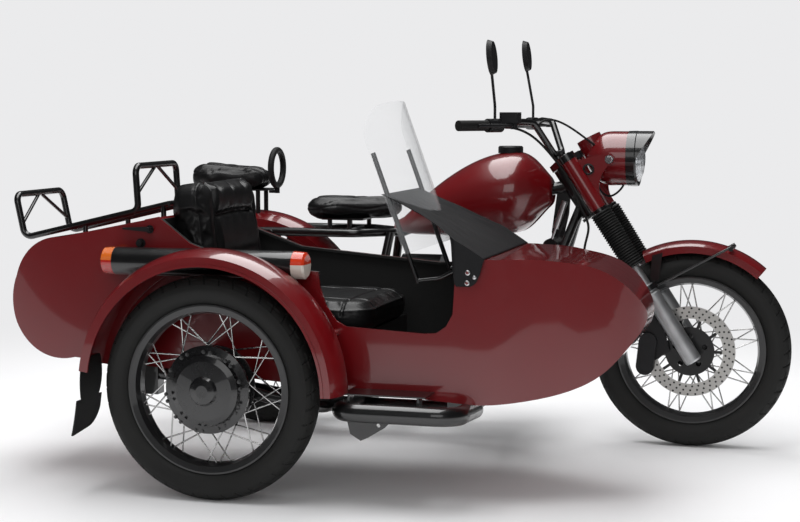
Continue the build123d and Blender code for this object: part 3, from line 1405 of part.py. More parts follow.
# Mirrors on stems from the bar controls
mirror_list = []
for side, head in ((-1, (front_x - 597, -400, 1271)), (1, (front_x - 636, 330, 1296))):
    inner_end = Vector(grip_in[0], bike_y + side * grip_in[1], grip_z)
    run = (Vector(grip_out[0], bike_y + side * grip_out[1], grip_z) - inner_end).normalized()
    foot = inner_end - run * 26 + Vector(0, 0, 22)
    top = Vector(head[0], bike_y + head[1], head[2])
    mirror_list.append(tube([tuple(foot), tuple(foot + Vector(0, 0, 40)), tuple(top - Vector(-6, 0, 40)), tuple(top)], 4.5, bend=30))
    with BuildPart() as glass_head:
        with BuildSketch(Plane(origin=top, x_dir=(0, 1, 0), z_dir=(1, 0, 0.1))):
            Ellipse(47, 56)
        extrude(amount=16, taper=22)
    mirror_list.append(glass_head.part)
with BuildPart() as mirrors:
    add(mirror_list)
    add(bar_controls.part, mode=Mode.SUBTRACT)
    add(bars, mode=Mode.SUBTRACT)
keep(mirrors.part, "mirrors")


# Cables that turn with the fork: the brake hose, a control cable and the headlamp's wires
def cable(points, radius):
    with BuildPart() as piece:
        with BuildLine() as path:
            Spline(*points)
        with BuildSketch(path.line ^ 0):
            Circle(radius)
        sweep()
    return piece.part


hose_y = bike_y - 112
hose = cable([
    (304, bike_y - 262, 1052), (362, bike_y - 190, 1026), (417, bike_y - 126, 961), (459, hose_y, 902),
    (515, hose_y, 789), (540, hose_y, 727), (528, hose_y, 657), (556, bike_y - 106, 560),
    (648, bike_y - 92, 452), (735, bike_y - 78, 375),
], 4)
control_cable = cable([
    (374, bike_y - 150, 1054), (410, bike_y - 104, 1076), (470, bike_y - 70, 1050), (552, bike_y - 45, 990),
], 3.5)
lamp_wire = cable([
    (642, bike_y - 20, 866), (624, bike_y - 20, 840), (592, bike_y - 20, 824), (560, bike_y - 20, 848),
    (552, bike_y - 20, 892),
], 3.5)
with BuildPart() as fork_cables:
    add(hose)
    add(control_cable)
    add(lamp_wire)
    for solid in (bar_controls, handlebar, headlamp_shell, brake_caliper, mirrors):
        add(solid.part, mode=Mode.SUBTRACT)
keep(fork_cables.part, "fork_cables")
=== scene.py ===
import math

import bmesh
import bpy
import numpy as np
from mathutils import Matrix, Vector


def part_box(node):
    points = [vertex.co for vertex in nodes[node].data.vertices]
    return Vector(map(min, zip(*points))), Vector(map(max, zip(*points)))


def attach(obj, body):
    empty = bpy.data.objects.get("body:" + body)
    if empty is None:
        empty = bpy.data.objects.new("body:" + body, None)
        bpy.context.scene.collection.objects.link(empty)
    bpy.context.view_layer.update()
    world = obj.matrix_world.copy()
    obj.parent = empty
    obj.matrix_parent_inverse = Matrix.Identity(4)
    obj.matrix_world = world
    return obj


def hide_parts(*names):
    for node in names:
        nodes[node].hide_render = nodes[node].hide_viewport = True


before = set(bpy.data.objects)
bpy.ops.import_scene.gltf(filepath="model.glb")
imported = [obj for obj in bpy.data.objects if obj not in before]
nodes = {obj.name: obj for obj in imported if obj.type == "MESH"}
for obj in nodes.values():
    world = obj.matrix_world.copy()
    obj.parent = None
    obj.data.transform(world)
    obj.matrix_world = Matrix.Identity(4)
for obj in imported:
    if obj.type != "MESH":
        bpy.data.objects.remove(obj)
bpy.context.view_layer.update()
print("frame loaded:", len(nodes), "nodes")


# Places that several pieces share, in metres, read from the frame

def middle(node):
    low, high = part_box(node)
    return (low + high) / 2


sidecarAside = 0.735  # from the motorcycle's middle to the sidecar body's
frontHub = middle("front_tyre")
rearHub = middle("rear_tyre")
sideHub = middle("sidecar_tyre")
bikeY = frontHub.y
bodyY = bikeY - sidecarAside


# Camera: the photograph's viewpoint, solved from the ellipses of the three wheels

cameraSettings = {
    "place": (1.4214, -5.0346, 1.1194),
    "tiltDegrees": 84.616,
    "turnDegrees": 15.987,
    "lens": 73.79,
    "sensorWidth": 36.0,
}


def makeCamera(settings):
    data = bpy.data.cameras.new("camera")
    data.lens = settings["lens"]
    data.sensor_width = settings["sensorWidth"]
    camera = bpy.data.objects.new("camera", data)
    camera.location = settings["place"]
    camera.rotation_euler = (math.radians(settings["tiltDegrees"]), 0, math.radians(settings["turnDegrees"]))
    bpy.context.scene.collection.objects.link(camera)
    bpy.context.scene.camera = camera


makeCamera(cameraSettings)
print("camera placed")


# Mesh helpers: every new piece is a grid of points, or several grids joined

def gridFaces(rows, columns, wrapRows=False, wrapColumns=False):
    index = np.arange(rows * columns).reshape(rows, columns)
    if wrapRows:
        index = np.vstack([index, index[:1]])
    if wrapColumns:
        index = np.hstack([index, index[:, :1]])
    return np.stack([index[:-1, :-1], index[1:, :-1], index[1:, 1:], index[:-1, 1:]], axis=-1).reshape(-1, 4)


def grid(points, wrapRows=False, wrapColumns=False):
    # a part is its points and the quads between neighbours of the grid
    return points.reshape(-1, 3), gridFaces(points.shape[0], points.shape[1], wrapRows, wrapColumns)


def build(name, parts, finish, body, angle=35):
    # joins the parts to one mesh, merges what coincides, turns the faces outwards
    points = np.vstack([part[0] for part in parts])
    starts = np.cumsum([0] + [len(part[0]) for part in parts[:-1]])
    quads = np.vstack([part[1] + start for part, start in zip(parts, starts)])
    mesh = bpy.data.meshes.new(name)
    mesh.vertices.add(len(points))
    mesh.vertices.foreach_set("co", points.astype(np.float32).ravel())
    mesh.loops.add(quads.size)
    mesh.loops.foreach_set("vertex_index", quads.astype(np.int32).ravel())
    mesh.polygons.add(len(quads))
    mesh.polygons.foreach_set("loop_start", np.arange(0, quads.size, 4, dtype=np.int32))
    mesh.polygons.foreach_set("loop_total", np.full(len(quads), 4, dtype=np.int32))
    mesh.update(calc_edges=True)
    work = bmesh.new()
    work.from_mesh(mesh)
    bmesh.ops.remove_doubles(work, verts=work.verts, dist=1e-6)
    bmesh.ops.recalc_face_normals(work, faces=work.faces)
    work.to_mesh(mesh)
    work.free()
    mesh.polygons.foreach_set("use_smooth", np.ones(len(mesh.polygons), dtype=bool))
    mesh.set_sharp_from_angle(angle=math.radians(angle))
    piece = bpy.data.objects.new(name, mesh)
    bpy.context.scene.collection.objects.link(piece)
    mesh.materials.append(finish.material)
    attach(piece, body)
    return piece


def arcThrough(first, mid, last, count):
    # points on the circle through three points of a plane, from the first to the last
    (ax, ay), (bx, by), (cx, cy) = first, mid, last
    d = 2 * (ax * (by - cy) + bx * (cy - ay) + cx * (ay - by))
    ux = ((ax**2 + ay**2) * (by - cy) + (bx**2 + by**2) * (cy - ay) + (cx**2 + cy**2) * (ay - by)) / d
    uy = ((ax**2 + ay**2) * (cx - bx) + (bx**2 + by**2) * (ax - cx) + (cx**2 + cy**2) * (bx - ax)) / d
    radius = math.hypot(ax - ux, ay - uy)
    start, middleTurn, end = (math.atan2(y - uy, x - ux) for x, y in (first, mid, last))
    sweep = (end - start) % (2 * math.pi)
    if (middleTurn - start) % (2 * math.pi) > sweep:
        sweep -= 2 * math.pi
    turns = start + sweep * np.linspace(0, 1, count)
    return np.stack([ux + radius * np.cos(turns), uy + radius * np.sin(turns)], axis=-1)


def spun(centre, profile, count):
    # turns a profile of (radius, reach) rows about the line along Y through the centre
    turns = np.linspace(0, 2 * math.pi, count, endpoint=False)[:, None]
    radius, reach = profile[None, :, 0], profile[None, :, 1]
    circle = (radius * np.cos(turns), reach + 0 * turns, radius * np.sin(turns))
    return grid(np.stack(circle, axis=-1) + np.array(centre), wrapRows=True)


# Materials: Sock lets an expression add Math nodes, Paint is one material

class Sock:
    def __init__(self, paint, socket):
        self.paint = paint
        self.socket = socket

    def join(self, operation, first, second=0.0):
        return self.paint.node("ShaderNodeMath", {"operation": operation}, {0: first, 1: second})

    def __add__(self, other):
        return self.join("ADD", self, other)

    __radd__ = __add__

    def __sub__(self, other):
        return self.join("SUBTRACT", self, other)

    def __rsub__(self, other):
        return self.join("SUBTRACT", other, self)

    def __mul__(self, other):
        return self.join("MULTIPLY", self, other)

    __rmul__ = __mul__

    def __pow__(self, other):
        return self.join("POWER", self, other)

    def root(self):
        return self.join("SQRT", self)

    def size(self):
        return self.join("ABSOLUTE", self)

    def wave(self):
        return self.join("SINE", self)

    def fraction(self):
        return self.join("FRACT", self)

    def angle(self, across):
        # the turn of the point (across, self) about the origin, in radians
        return self.join("ARCTAN2", self, across)

    def over(self, limit):
        return self.join("GREATER_THAN", self, limit)

    def under(self, limit):
        return self.join("LESS_THAN", self, limit)

    def ramp(self, low, high):
        # 0 below low, 1 above high
        return self.paint.node("ShaderNodeMapRange", {}, {"Value": self, "From Min": low, "From Max": high})


class Paint:
    def __init__(self, name, **constants):
        self.material = bpy.data.materials.new(name)
        self.material.use_nodes = True
        self.tree = self.material.node_tree
        self.shader = self.tree.nodes["Principled BSDF"]
        for key, value in constants.items():
            self.shader.inputs[key.replace("_", " ")].default_value = value
        self.place = self.node("ShaderNodeTexCoord", {}, {}, "Object")

    def node(self, kind, settings, inputs, output=0):
        made = self.tree.nodes.new(kind)
        for key, value in settings.items():
            setattr(made, key, value)
        for key, value in inputs.items():
            self.feed(made.inputs[key], value)
        return Sock(self, made.outputs[output])

    def feed(self, socket, value):
        if isinstance(value, Sock):
            self.tree.links.new(value.socket, socket)
        else:
            socket.default_value = value

    def set(self, **values):
        for key, value in values.items():
            self.feed(self.shader.inputs[key.replace("_", " ")], value)
        return self

    def axes(self):
        return [self.node("ShaderNodeSeparateXYZ", {}, {"Vector": self.place}, name) for name in "XYZ"]

    def noise(self, scale, detail=3.0, stretch=None):
        where = self.place
        if stretch:
            where = self.node("ShaderNodeMapping", {}, {"Vector": self.place, "Scale": stretch})
        return self.node("ShaderNodeTexNoise", {}, {"Vector": where, "Scale": scale, "Detail": detail})

    def cells(self, scale):
        inputs = {"Vector": self.place, "Scale": scale}
        return self.node("ShaderNodeTexVoronoi", {"feature": "F1"}, inputs, "Distance")

    def mix(self, factor, low, high):
        return self.node("ShaderNodeMix", {"data_type": "RGBA"}, {0: factor, 6: low, 7: high}, 2)

    def bump(self, height, distance, strength=1.0):
        return self.node("ShaderNodeBump", {}, {"Height": height, "Distance": distance, "Strength": strength})


def rgb(red, green, blue):
    return (red, green, blue, 1.0)


def shade(colour, factor):
    return (colour[0] * factor, colour[1] * factor, colour[2] * factor, 1.0)


def enamel(paint, colour, roughness):
    # slow changes of tone, dust that dulls it a little, faint orange peel
    tone = paint.mix(paint.noise(3.0), shade(colour, 0.86), shade(colour, 1.12))
    dust = paint.noise(38.0, 5.0).ramp(0.45, 0.75)
    peel = paint.noise(420.0, 1.0)
    return tone, roughness + 0.05 * dust, paint.bump(peel, 0.00003, 0.35)


def glossPaint(name, colour, coat=1.0, roughness=0.28):
    paint = Paint(name, Coat_Weight=coat, Coat_Roughness=0.04, IOR=1.5)
    tone, dulled, peel = enamel(paint, colour, roughness)
    return paint.set(Base_Color=tone, Roughness=dulled, Normal=peel)


def castAlloy(name, colour, roughness=0.42, grain=900.0):
    # sand-cast or satin alloy: fine grain, blotches where it was handled
    paint = Paint(name, Metallic=1.0)
    blotch = paint.noise(16.0, 4.0)
    return paint.set(
        Base_Color=paint.mix(blotch.ramp(0.3, 0.7), shade(colour, 0.82), shade(colour, 1.06)),
        Roughness=roughness + 0.14 * blotch,
        Normal=paint.bump(paint.noise(grain, 2.0), 0.00012, 0.5),
    )


def mouldedBlack(name, colour, roughness=0.5, grain=1300.0, depth=0.00008):
    # moulded plastic or rubber: fine pebble grain, paler scuffs
    paint = Paint(name, Specular_IOR_Level=0.3)
    scuff = paint.noise(22.0, 6.0).ramp(0.56, 0.8)
    return paint.set(
        Base_Color=paint.mix(scuff, colour, shade(colour, 1.7)),
        Roughness=roughness + 0.12 * scuff,
        Normal=paint.bump(paint.cells(grain), depth, 0.5),
    )


def grainedLeather(name, colour):
    # leather: pebbled cells inside broader ones, creases, worn shine on the high places
    paint = Paint(name, Coat_Weight=0.25, Coat_Roughness=0.22, Specular_IOR_Level=0.2)
    pebble = paint.cells(520.0)
    patch = paint.cells(150.0)
    crease = paint.noise(34.0, 5.0, (1.0, 1.0, 2.2))
    wear = paint.noise(9.0, 4.0).ramp(0.4, 0.7)
    return paint.set(
        Base_Color=paint.mix(wear, colour, shade(colour, 1.6)),
        Roughness=0.44 - 0.1 * wear + 0.08 * pebble,
        Normal=paint.bump(pebble * 0.5 + patch * 0.4 + crease * 1.6, 0.0006, 0.55),
    )


def coatedFabric(name, colour):
    # coated cloth: the weave shows through as fine crossing threads
    paint = Paint(name, Specular_IOR_Level=0.3)
    x, y, z = paint.axes()
    threads = (y * 5200.0).wave() * ((x + z) * 5200.0).wave()
    cloud = paint.noise(7.0, 4.0)
    return paint.set(
        Base_Color=paint.mix(cloud, shade(colour, 0.8), shade(colour, 1.25)),
        Roughness=0.6 + 0.14 * cloud,
        Normal=paint.bump(threads * 0.5 + paint.noise(60.0, 3.0), 0.00015, 0.5),
    )


redTone = rgb(0.135, 0.0020, 0.0040)
blackTone = rgb(0.0035, 0.0035, 0.0038)
bodyPaint = glossPaint("bodyPaint", redTone)
framePaint = glossPaint("framePaint", blackTone, coat=0.8, roughness=0.3)
rimPaint = glossPaint("rimPaint", rgb(0.007, 0.007, 0.0075), coat=0.6, roughness=0.34)
alloy = castAlloy("alloy", rgb(0.60, 0.61, 0.62))
brightSteel = castAlloy("brightSteel", rgb(0.66, 0.66, 0.67), roughness=0.22, grain=1500.0)
chromed = castAlloy("chromed", rgb(0.78, 0.78, 0.79), roughness=0.07, grain=60.0)
blackPlastic = mouldedBlack("blackPlastic", rgb(0.008, 0.008, 0.009), roughness=0.42)
blackRubber = mouldedBlack("blackRubber", rgb(0.008, 0.008, 0.008), roughness=0.62, grain=700.0)
leather = grainedLeather("leather", rgb(0.0045, 0.0045, 0.0048))
vinyl = coatedFabric("vinyl", rgb(0.0065, 0.0065, 0.0075))
print("plain materials made")


def linedShell(name, colour, roughness, lining, inside):
    # enamel outside, matt black lining inside the box of the cockpit
    paint = Paint(name, IOR=1.5, Coat_Roughness=0.04)
    x, y, z = paint.axes()
    lined = (y - bodyY).size().under(inside["half"]) * x.over(inside["back"]) * x.under(inside["front"])
    lined = lined * z.over(inside["floor"])
    tone, dulled, peel = enamel(paint, colour, roughness)
    return paint.set(
        Base_Color=paint.mix(lined, tone, lining),
        Roughness=dulled + 0.4 * lined,
        Coat_Weight=1.0 - lined,
        Normal=peel,
    )


def wheelDistance(paint, hub):
    # how far a point is from a wheel's axle line
    x, y, z = paint.axes()
    return ((x - hub.x) ** 2.0 + (z - hub.z) ** 2.0).root()


def spokedHub(name, hub, flange):
    # black hub inside the flange, bright spokes outside it
    paint = Paint(name)
    away = wheelDistance(paint, hub).over(flange)
    handled = paint.noise(40.0, 4.0)
    black = paint.mix(handled, blackTone, shade(blackTone, 2.0))
    steel = paint.mix(handled, rgb(0.50, 0.50, 0.50), rgb(0.72, 0.72, 0.71))
    return paint.set(
        Base_Color=paint.mix(away, black, steel),
        Metallic=away,
        Roughness=0.2 + 0.12 * handled,
        Coat_Weight=0.8 - 0.8 * away,
    )


def tyreRubber(name, hub):
    # rubber: brown-grey bloom on the sidewall, darker tread, fine moulding rings
    paint = Paint(name, Specular_IOR_Level=0.25)
    away = wheelDistance(paint, hub)
    tread = away.ramp(0.306, 0.312)
    bloom = paint.noise(11.0, 5.0)
    side = paint.mix(bloom, rgb(0.010, 0.010, 0.010), rgb(0.017, 0.017, 0.016))
    crown = paint.mix(bloom, rgb(0.007, 0.007, 0.007), rgb(0.012, 0.012, 0.011))
    rings = (away * 2600.0).wave() * (1.0 - tread)
    return paint.set(
        Base_Color=paint.mix(tread, side, crown),
        Roughness=0.58 + 0.16 * bloom,
        Normal=paint.bump(rings * 0.25 + paint.noise(900.0, 2.0), 0.0001, 0.6),
    )


discSettings = {
    "carrier": 0.1045,  # radius where the bright ring begins
    "holes": 36,  # in each row
    "holeRadius": 0.0034,
    "rows": ((0.116, 0.0), (0.129, 0.33), (0.142, 0.66)),  # radius, and shift as a share of the spacing
}


def drilledDiscSteel(name, hub, settings):
    # ground ring with fine circles left by the pads and rows of holes painted black as painted shade, black
    # carrier inside it
    paint = Paint(name)
    away = wheelDistance(paint, hub)
    ring = away.over(settings["carrier"])
    swept = (away * 6400.0).wave() * 0.5 + 0.5
    steel = paint.mix(swept, rgb(0.44, 0.43, 0.41), rgb(0.56, 0.55, 0.53))
    x, y, z = paint.axes()
    turn = (z - hub.z).angle(x - hub.x) * (settings["holes"] / (2 * math.pi))
    # the holes are painted shade: black marks where one would look into the dark of the drilled holes
    paintedHoleShade = 0.0
    for radius, shift in settings["rows"]:
        # distance round the disc to the nearest hole's middle, then the whole distance to it
        aside = ((turn + shift).fraction() - 0.5) * (2 * math.pi * radius / settings["holes"])
        gap = (aside ** 2.0 + (away - radius) ** 2.0).root()
        paintedHoleShade = paintedHoleShade + gap.under(settings["holeRadius"])
    ring = ring * (1.0 - paintedHoleShade)
    return paint.set(
        Base_Color=paint.mix(ring, blackTone, steel),
        Metallic=ring,
        Roughness=0.36 - 0.06 * swept,
    )


def lampPlastic(name):
    # rear lens amber above and red below, front lens orange above and clear below
    paint = Paint(name, Coat_Weight=1.0, Coat_Roughness=0.03)
    x, y, z = paint.axes()
    ahead = x.over(lampTubeMiddle.x)
    upper = z.over(lampTubeMiddle.z + 0.004)
    rear = paint.mix(upper, rgb(0.42, 0.010, 0.006), rgb(0.62, 0.13, 0.012))
    front = paint.mix(upper, rgb(0.62, 0.56, 0.50), rgb(0.56, 0.035, 0.008))
    ribs = (x * 2100.0).wave()
    return paint.set(
        Base_Color=paint.mix(ahead, rear, front),
        Roughness=0.12 + 0.06 * paint.noise(30.0),
        Normal=paint.bump(ribs, 0.0004, 0.6),
    )


def clearSheet(name, tint, alpha):
    # a clear sheet: what stands behind shows through, faint smears catch the light
    paint = Paint(name, IOR=1.45, Coat_Weight=0.0)
    smear = paint.noise(5.0, 5.0, (1.0, 1.0, 3.0)).ramp(0.35, 0.8)
    edge = paint.node("ShaderNodeLayerWeight", {}, {"Blend": 0.3}, "Facing") ** 3.0
    return paint.set(
        Base_Color=paint.mix(edge, tint, shade(tint, 0.45)),
        Roughness=0.03 + 0.05 * smear,
        Alpha=alpha + 0.03 * smear + 0.6 * edge,
    )


def flutedLens(name):
    # a headlamp's lens: upright flutes crossed by a few level bands
    paint = Paint(name, Coat_Weight=1.0, Coat_Roughness=0.02)
    x, y, z = paint.axes()
    flutes = ((y - bikeY) * 520.0).wave() + 0.4 * (z * 260.0).wave()
    glow = paint.noise(14.0, 3.0)
    return paint.set(
        Base_Color=paint.mix(glow, rgb(0.50, 0.53, 0.56), rgb(0.86, 0.88, 0.90)),
        Metallic=0.75 - 0.25 * glow,
        Roughness=0.10 + 0.06 * glow,
        Normal=paint.bump(flutes, 0.0012, 0.7),
    )


lampTubeMiddle = middle("lamp_tube")
liningTone = rgb(0.006, 0.006, 0.006)
cockpitInside = {"half": 0.2875, "back": -0.566, "front": 0.33, "floor": 0.31}
shellPaint = linedShell("shellPaint", redTone, 0.28, liningTone, cockpitInside)
flangeRadius = {"front": 0.0625, "rear": 0.099, "sidecar": 0.127}
frontHubPaint = spokedHub("frontHubPaint", frontHub, flangeRadius["front"])
rearHubPaint = spokedHub("rearHubPaint", rearHub, flangeRadius["rear"])
sideHubPaint = spokedHub("sideHubPaint", sideHub, flangeRadius["sidecar"])
discSteel = drilledDiscSteel("discSteel", frontHub, discSettings)
lampLens = lampPlastic("lampLens")
screenSheet = clearSheet("screenSheet", rgb(0.80, 0.82, 0.84), 0.07)
headLens = flutedLens("headLens")


# Each CAD node is dressed here, also those that a softer or finer piece replaces further down

dressing = [
    (shellPaint, "body_shell"),
    (bodyPaint, "boot_lid sidecar_fender front_fender rear_fender fuel_tank fork_shrouds headlamp_shell"),
    (framePaint, "bike_frame swingarm sidecar_frame luggage_rack screen_rods saddle_brackets plate_holder "
                 "fork_yokes handlebar fender_stays lamp_tube seat_base rear_shocks headlamp_rim"),
    (rimPaint, "front_rim rear_rim sidecar_rim"),
    (alloy, "fork_legs final_drive engine_case cylinders"),
    (chromed, "exhaust"),
    (brightSteel, "steering_damper"),
    (blackPlastic, "bar_controls mirrors brake_caliper intake tank_cap trunk_latches"),
    (blackRubber, "fork_cables fork_gaiters grips grab_handle mudflap front_tyre rear_tyre sidecar_tyre"),
    (leather, "rider_saddle passenger_saddle seat_cushion seat_back"),
    (vinyl, "apron"),
    (frontHubPaint, "front_hub"),
    (rearHubPaint, "rear_hub"),
    (sideHubPaint, "sidecar_hub"),
    (discSteel, "brake_disc"),
    (lampLens, "lamp_lenses tail_lamp"),
    (headLens, "headlamp_lens"),
    (screenSheet, "windscreen"),
]


def dress(node, paint):
    mesh = nodes[node].data
    mesh.materials.clear()
    mesh.materials.append(paint.material)


for paint, names in dressing:
    for node in names.split():
        dress(node, paint)
print("nodes dressed")


# Tyres: one section carried round the axle, with the tread cut into it

tyreSettings = {
    "pitches": 44,  # tread blocks round the tyre
    "stepsPerPitch": 16,
    "grooveDepth": 0.0042,
    "slotWidth": 0.13,  # share of a pitch
    "treadHalf": 0.0475,
    "treadFrom": 0.300,  # radius where the tread begins
    "radius": 0.322,
    "half": 0.052,
    "bulge": 0.2845,  # radius where the tyre is widest
    "wall": (0.260, 0.006),  # a point of the wall: radius, and how far in from the half width
    "shoulder": (0.011, 0.66),  # how far in from the radius, and share of the half width
    "beadRadius": 0.2445,
    "beadHalf": 0.0296,
    "inner": 0.2290,  # inner radius, hidden by the rim
    "ridges": (0.2495, 0.2560, 0.2990),  # radii of the raised lines
    "ridgeHeight": 0.0009,
    "ridgeWidth": 0.0011,
    "ridgesBelow": 0.3005,  # no line stands out past this radius
}


def tyreSection(settings):
    # arcs from bead to bead over the crown, closed by a straight inner face, as (radius, reach) rows
    half, radius, bulge = settings["half"], settings["radius"], settings["bulge"]
    beadHalf, inner = settings["beadHalf"], settings["inner"]
    wallRadius, wallIn = settings["wall"]
    shoulderIn, shoulderShare = settings["shoulder"]
    bead = (settings["beadRadius"], -beadHalf)
    wall = arcThrough(bead, (wallRadius, -half + wallIn), (bulge, -half), 14)
    crown = arcThrough((bulge, -half), (radius - shoulderIn, -half * shoulderShare), (radius, 0), 34)
    outer = np.vstack([wall[:-1], crown])
    mirrored = outer[-2::-1] * (1, -1)
    return np.vstack([outer, mirrored, [[inner, beadHalf]], [[inner, -beadHalf]]])


def treadDepth(turn, share, settings):
    # turn counts pitches, share runs -1 to 1 across the tread: slots that lean outwards on the
    # shoulders, short links that join them in pairs, and a zigzag line round the middle
    wide = np.abs(share)
    lean = turn + 0.55 * wide + 0.5 * (share > 0)
    slot = np.abs((lean % 1.0) - 0.5) < settings["slotWidth"] * 0.5
    slots = slot & (wide > 0.30) & (wide < 0.93)
    linkBand = np.abs(wide - 0.66) < 0.035
    links = linkBand & ((lean % 2.0) < 1.0) & ((lean % 1.0) > 0.0)
    zigzag = np.abs(share - 0.16 * (np.abs((turn % 2.0) - 1.0) * 2 - 1)) < 0.035
    return (slots | links | zigzag).astype(float)


def tyreRidges(radius, settings):
    # raised moulding lines on the sidewall
    height, width = settings["ridgeHeight"], settings["ridgeWidth"]
    return sum(height * np.exp(-(((radius - at) / width) ** 2)) for at in settings["ridges"])


def makeTyre(name, node, hub, finish, body, settings):
    section = tyreSection(settings)
    count = settings["pitches"] * settings["stepsPerPitch"]
    turns = np.linspace(0, 2 * math.pi, count, endpoint=False)[:, None]
    radius, reach = section[None, :, 0], section[None, :, 1]
    share = np.where(radius > settings["treadFrom"], reach / settings["treadHalf"], 2.0)
    cut = treadDepth(turns / (2 * math.pi) * settings["pitches"], share + 0 * turns, settings)
    lift = tyreRidges(radius, settings) * (radius < settings["ridgesBelow"])
    outward = np.sign(reach) * lift
    radial = radius - settings["grooveDepth"] * cut
    points = np.stack([
        hub.x + radial * np.cos(turns),
        hub.y + reach + outward + 0 * turns,
        hub.z + radial * np.sin(turns),
    ], axis=-1)
    tyre = build(name, [grid(points, wrapRows=True, wrapColumns=True)], finish, body, angle=28)
    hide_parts(node)


for name, node, hub, body in (
    ("frontTyre", "front_tyre", frontHub, "front_wheel"),
    ("rearTyre", "rear_tyre", rearHub, "rear_wheel"),
    ("sidecarTyre", "sidecar_tyre", sideHub, "sidecar_wheel"),
):
    makeTyre(name, node, hub, tyreRubber(name + "Rubber", hub), body, tyreSettings)
print("tyres made")


# Soft goods: a closed form is blown up a little as cloth, then its seams are sewn in

simulationSettings = {"quality": 5, "mass": 0.25, "frames": 20}


def readVectors(items, name):
    values = np.empty(len(items) * 3, np.float32)
    items.foreach_get(name, values)
    return values.reshape(-1, 3).astype(float)


def movePoints(piece, points):
    piece.data.vertices.foreach_set("co", points.astype(np.float32).ravel())
    piece.data.update()


def applyModifier(piece, modifier):
    bpy.context.view_layer.objects.active = piece
    bpy.ops.object.modifier_apply(modifier=modifier.name)


def puff(piece, settings):
    # voxel remesh, cloth with inner pressure, a cap on how far a point may move, one subdivision
    remesh = piece.modifiers.new("grid", "REMESH")
    remesh.mode = "VOXEL"
    remesh.voxel_size = settings["voxel"]
    applyModifier(piece, remesh)
    scene = bpy.context.scene
    before = readVectors(piece.data.vertices, "co")
    cloth = piece.modifiers.new("cloth", "CLOTH")
    cloth.settings.quality = simulationSettings["quality"]
    cloth.settings.mass = simulationSettings["mass"]
    cloth.settings.tension_stiffness = settings["stiffness"]
    cloth.settings.compression_stiffness = settings["stiffness"]
    cloth.settings.bending_stiffness = settings["bending"]
    cloth.settings.use_pressure = True
    cloth.settings.uniform_pressure_force = settings["pressure"]
    cloth.settings.shrink_min = settings["shrink"]
    cloth.settings.effector_weights.gravity = 0.0
    cloth.collision_settings.use_collision = False
    for step in range(1, simulationSettings["frames"] + 1):
        scene.frame_set(step)
    shown = piece.evaluated_get(bpy.context.evaluated_depsgraph_get())
    move = readVectors(shown.data.vertices, "co") - before
    piece.modifiers.remove(cloth)
    scene.frame_set(1)
    far = np.linalg.norm(move, axis=1, keepdims=True)
    move *= np.minimum(1.0, settings["cap"] / np.maximum(far, 1e-9))
    movePoints(piece, before + move)
    finer = piece.modifiers.new("finer", "SUBSURF")
    finer.levels = finer.render_levels = 1
    applyModifier(piece, finer)
    piece.data.polygons.foreach_set("use_smooth", np.ones(len(piece.data.polygons), dtype=bool))


def sculpt(piece, height):
    # moves each point along its normal by height(points)
    points = readVectors(piece.data.vertices, "co")
    normals = readVectors(piece.data.vertex_normals, "vector")
    movePoints(piece, points + normals * height(points)[:, None])


def line(distance, width):
    # a soft-edged line: 1 on it, 0 away from it
    return np.exp(-((distance / width) ** 2))


def squared(wave, power):
    # a cosine or sine drawn out towards the corners, the more the smaller the power
    return np.sign(wave) * np.abs(wave) ** power


def closeEnds(points):
    # adds a point, repeated all round, in the middle of the first and the last ring
    caps = [np.repeat(points[i].mean(axis=0)[None, None], points.shape[1], axis=1) for i in (0, -1)]
    return np.concatenate([caps[0], points, caps[1]])


saddleSettings = {
    "voxel": 0.006, "pressure": 4.0, "cap": 0.008, "stiffness": 12.0, "bending": 0.3, "shrink": -0.03,
    "stations": 40, "around": 48, "inset": (0.008, 0.004, 0.006),  # at the ends, below and above
}


def saddleForm(back, front, wide, narrow, low, high, dip, slope, settings):
    # a section carried from the broad tail to the narrow nose: half-width and heights change
    # along it, and the ends close in a rounded curve
    t = np.linspace(0, 1, settings["stations"])
    x = back + (front - back) * t
    ends = np.sqrt(np.clip(1 - np.abs(2 * t - 1) ** 5, 0, 1))
    spread = wide + (narrow - wide) * (0.5 - 0.5 * np.cos(math.pi * np.clip((t - 0.25) / 0.55, 0, 1)))
    half = spread * np.maximum(ends, 0.02)
    top = high - slope * t - dip * np.sin(math.pi * np.clip(t * 1.15, 0, 1)) ** 2
    bottom = low + (high - low) * 0.08 * t
    middleZ = (top + bottom) / 2
    tall = (top - bottom) / 2 * np.maximum(ends, 0.02) ** 0.5
    turn = np.linspace(0, 2 * math.pi, settings["around"], endpoint=False)
    across = squared(np.cos(turn), 0.5)
    upward = squared(np.sin(turn), 0.5)
    points = np.stack([
        x[:, None] + 0 * turn,
        bikeY + half[:, None] * across,
        middleZ[:, None] + tall[:, None] * upward,
    ], axis=-1)
    return grid(closeEnds(points), wrapColumns=True)


def saddleFolds(back, front, high):
    # long folds that fan out from the nose, deeper on the sides, and a welt round the edge
    def height(points):
        along = (points[:, 0] - back) / (front - back)
        across = (points[:, 1] - bikeY) / 0.13
        fan = across / (0.35 + 0.9 * (1 - along))
        folds = np.sin(fan * 9 + 3 * along) * 0.0042 + np.sin(fan * 17 - 5 * along + 1.3) * 0.0024
        crosswise = np.sin(along * 26 + 4 * np.abs(across)) * 0.0012 * np.abs(across)
        edge = line(points[:, 2] - (high - 0.030 - 0.006 * np.sin(along * 12)), 0.004) * -0.0022
        return folds * np.clip(1.2 - np.abs(along - 0.45) * 1.6, 0, 1) + crosswise + edge
    return height


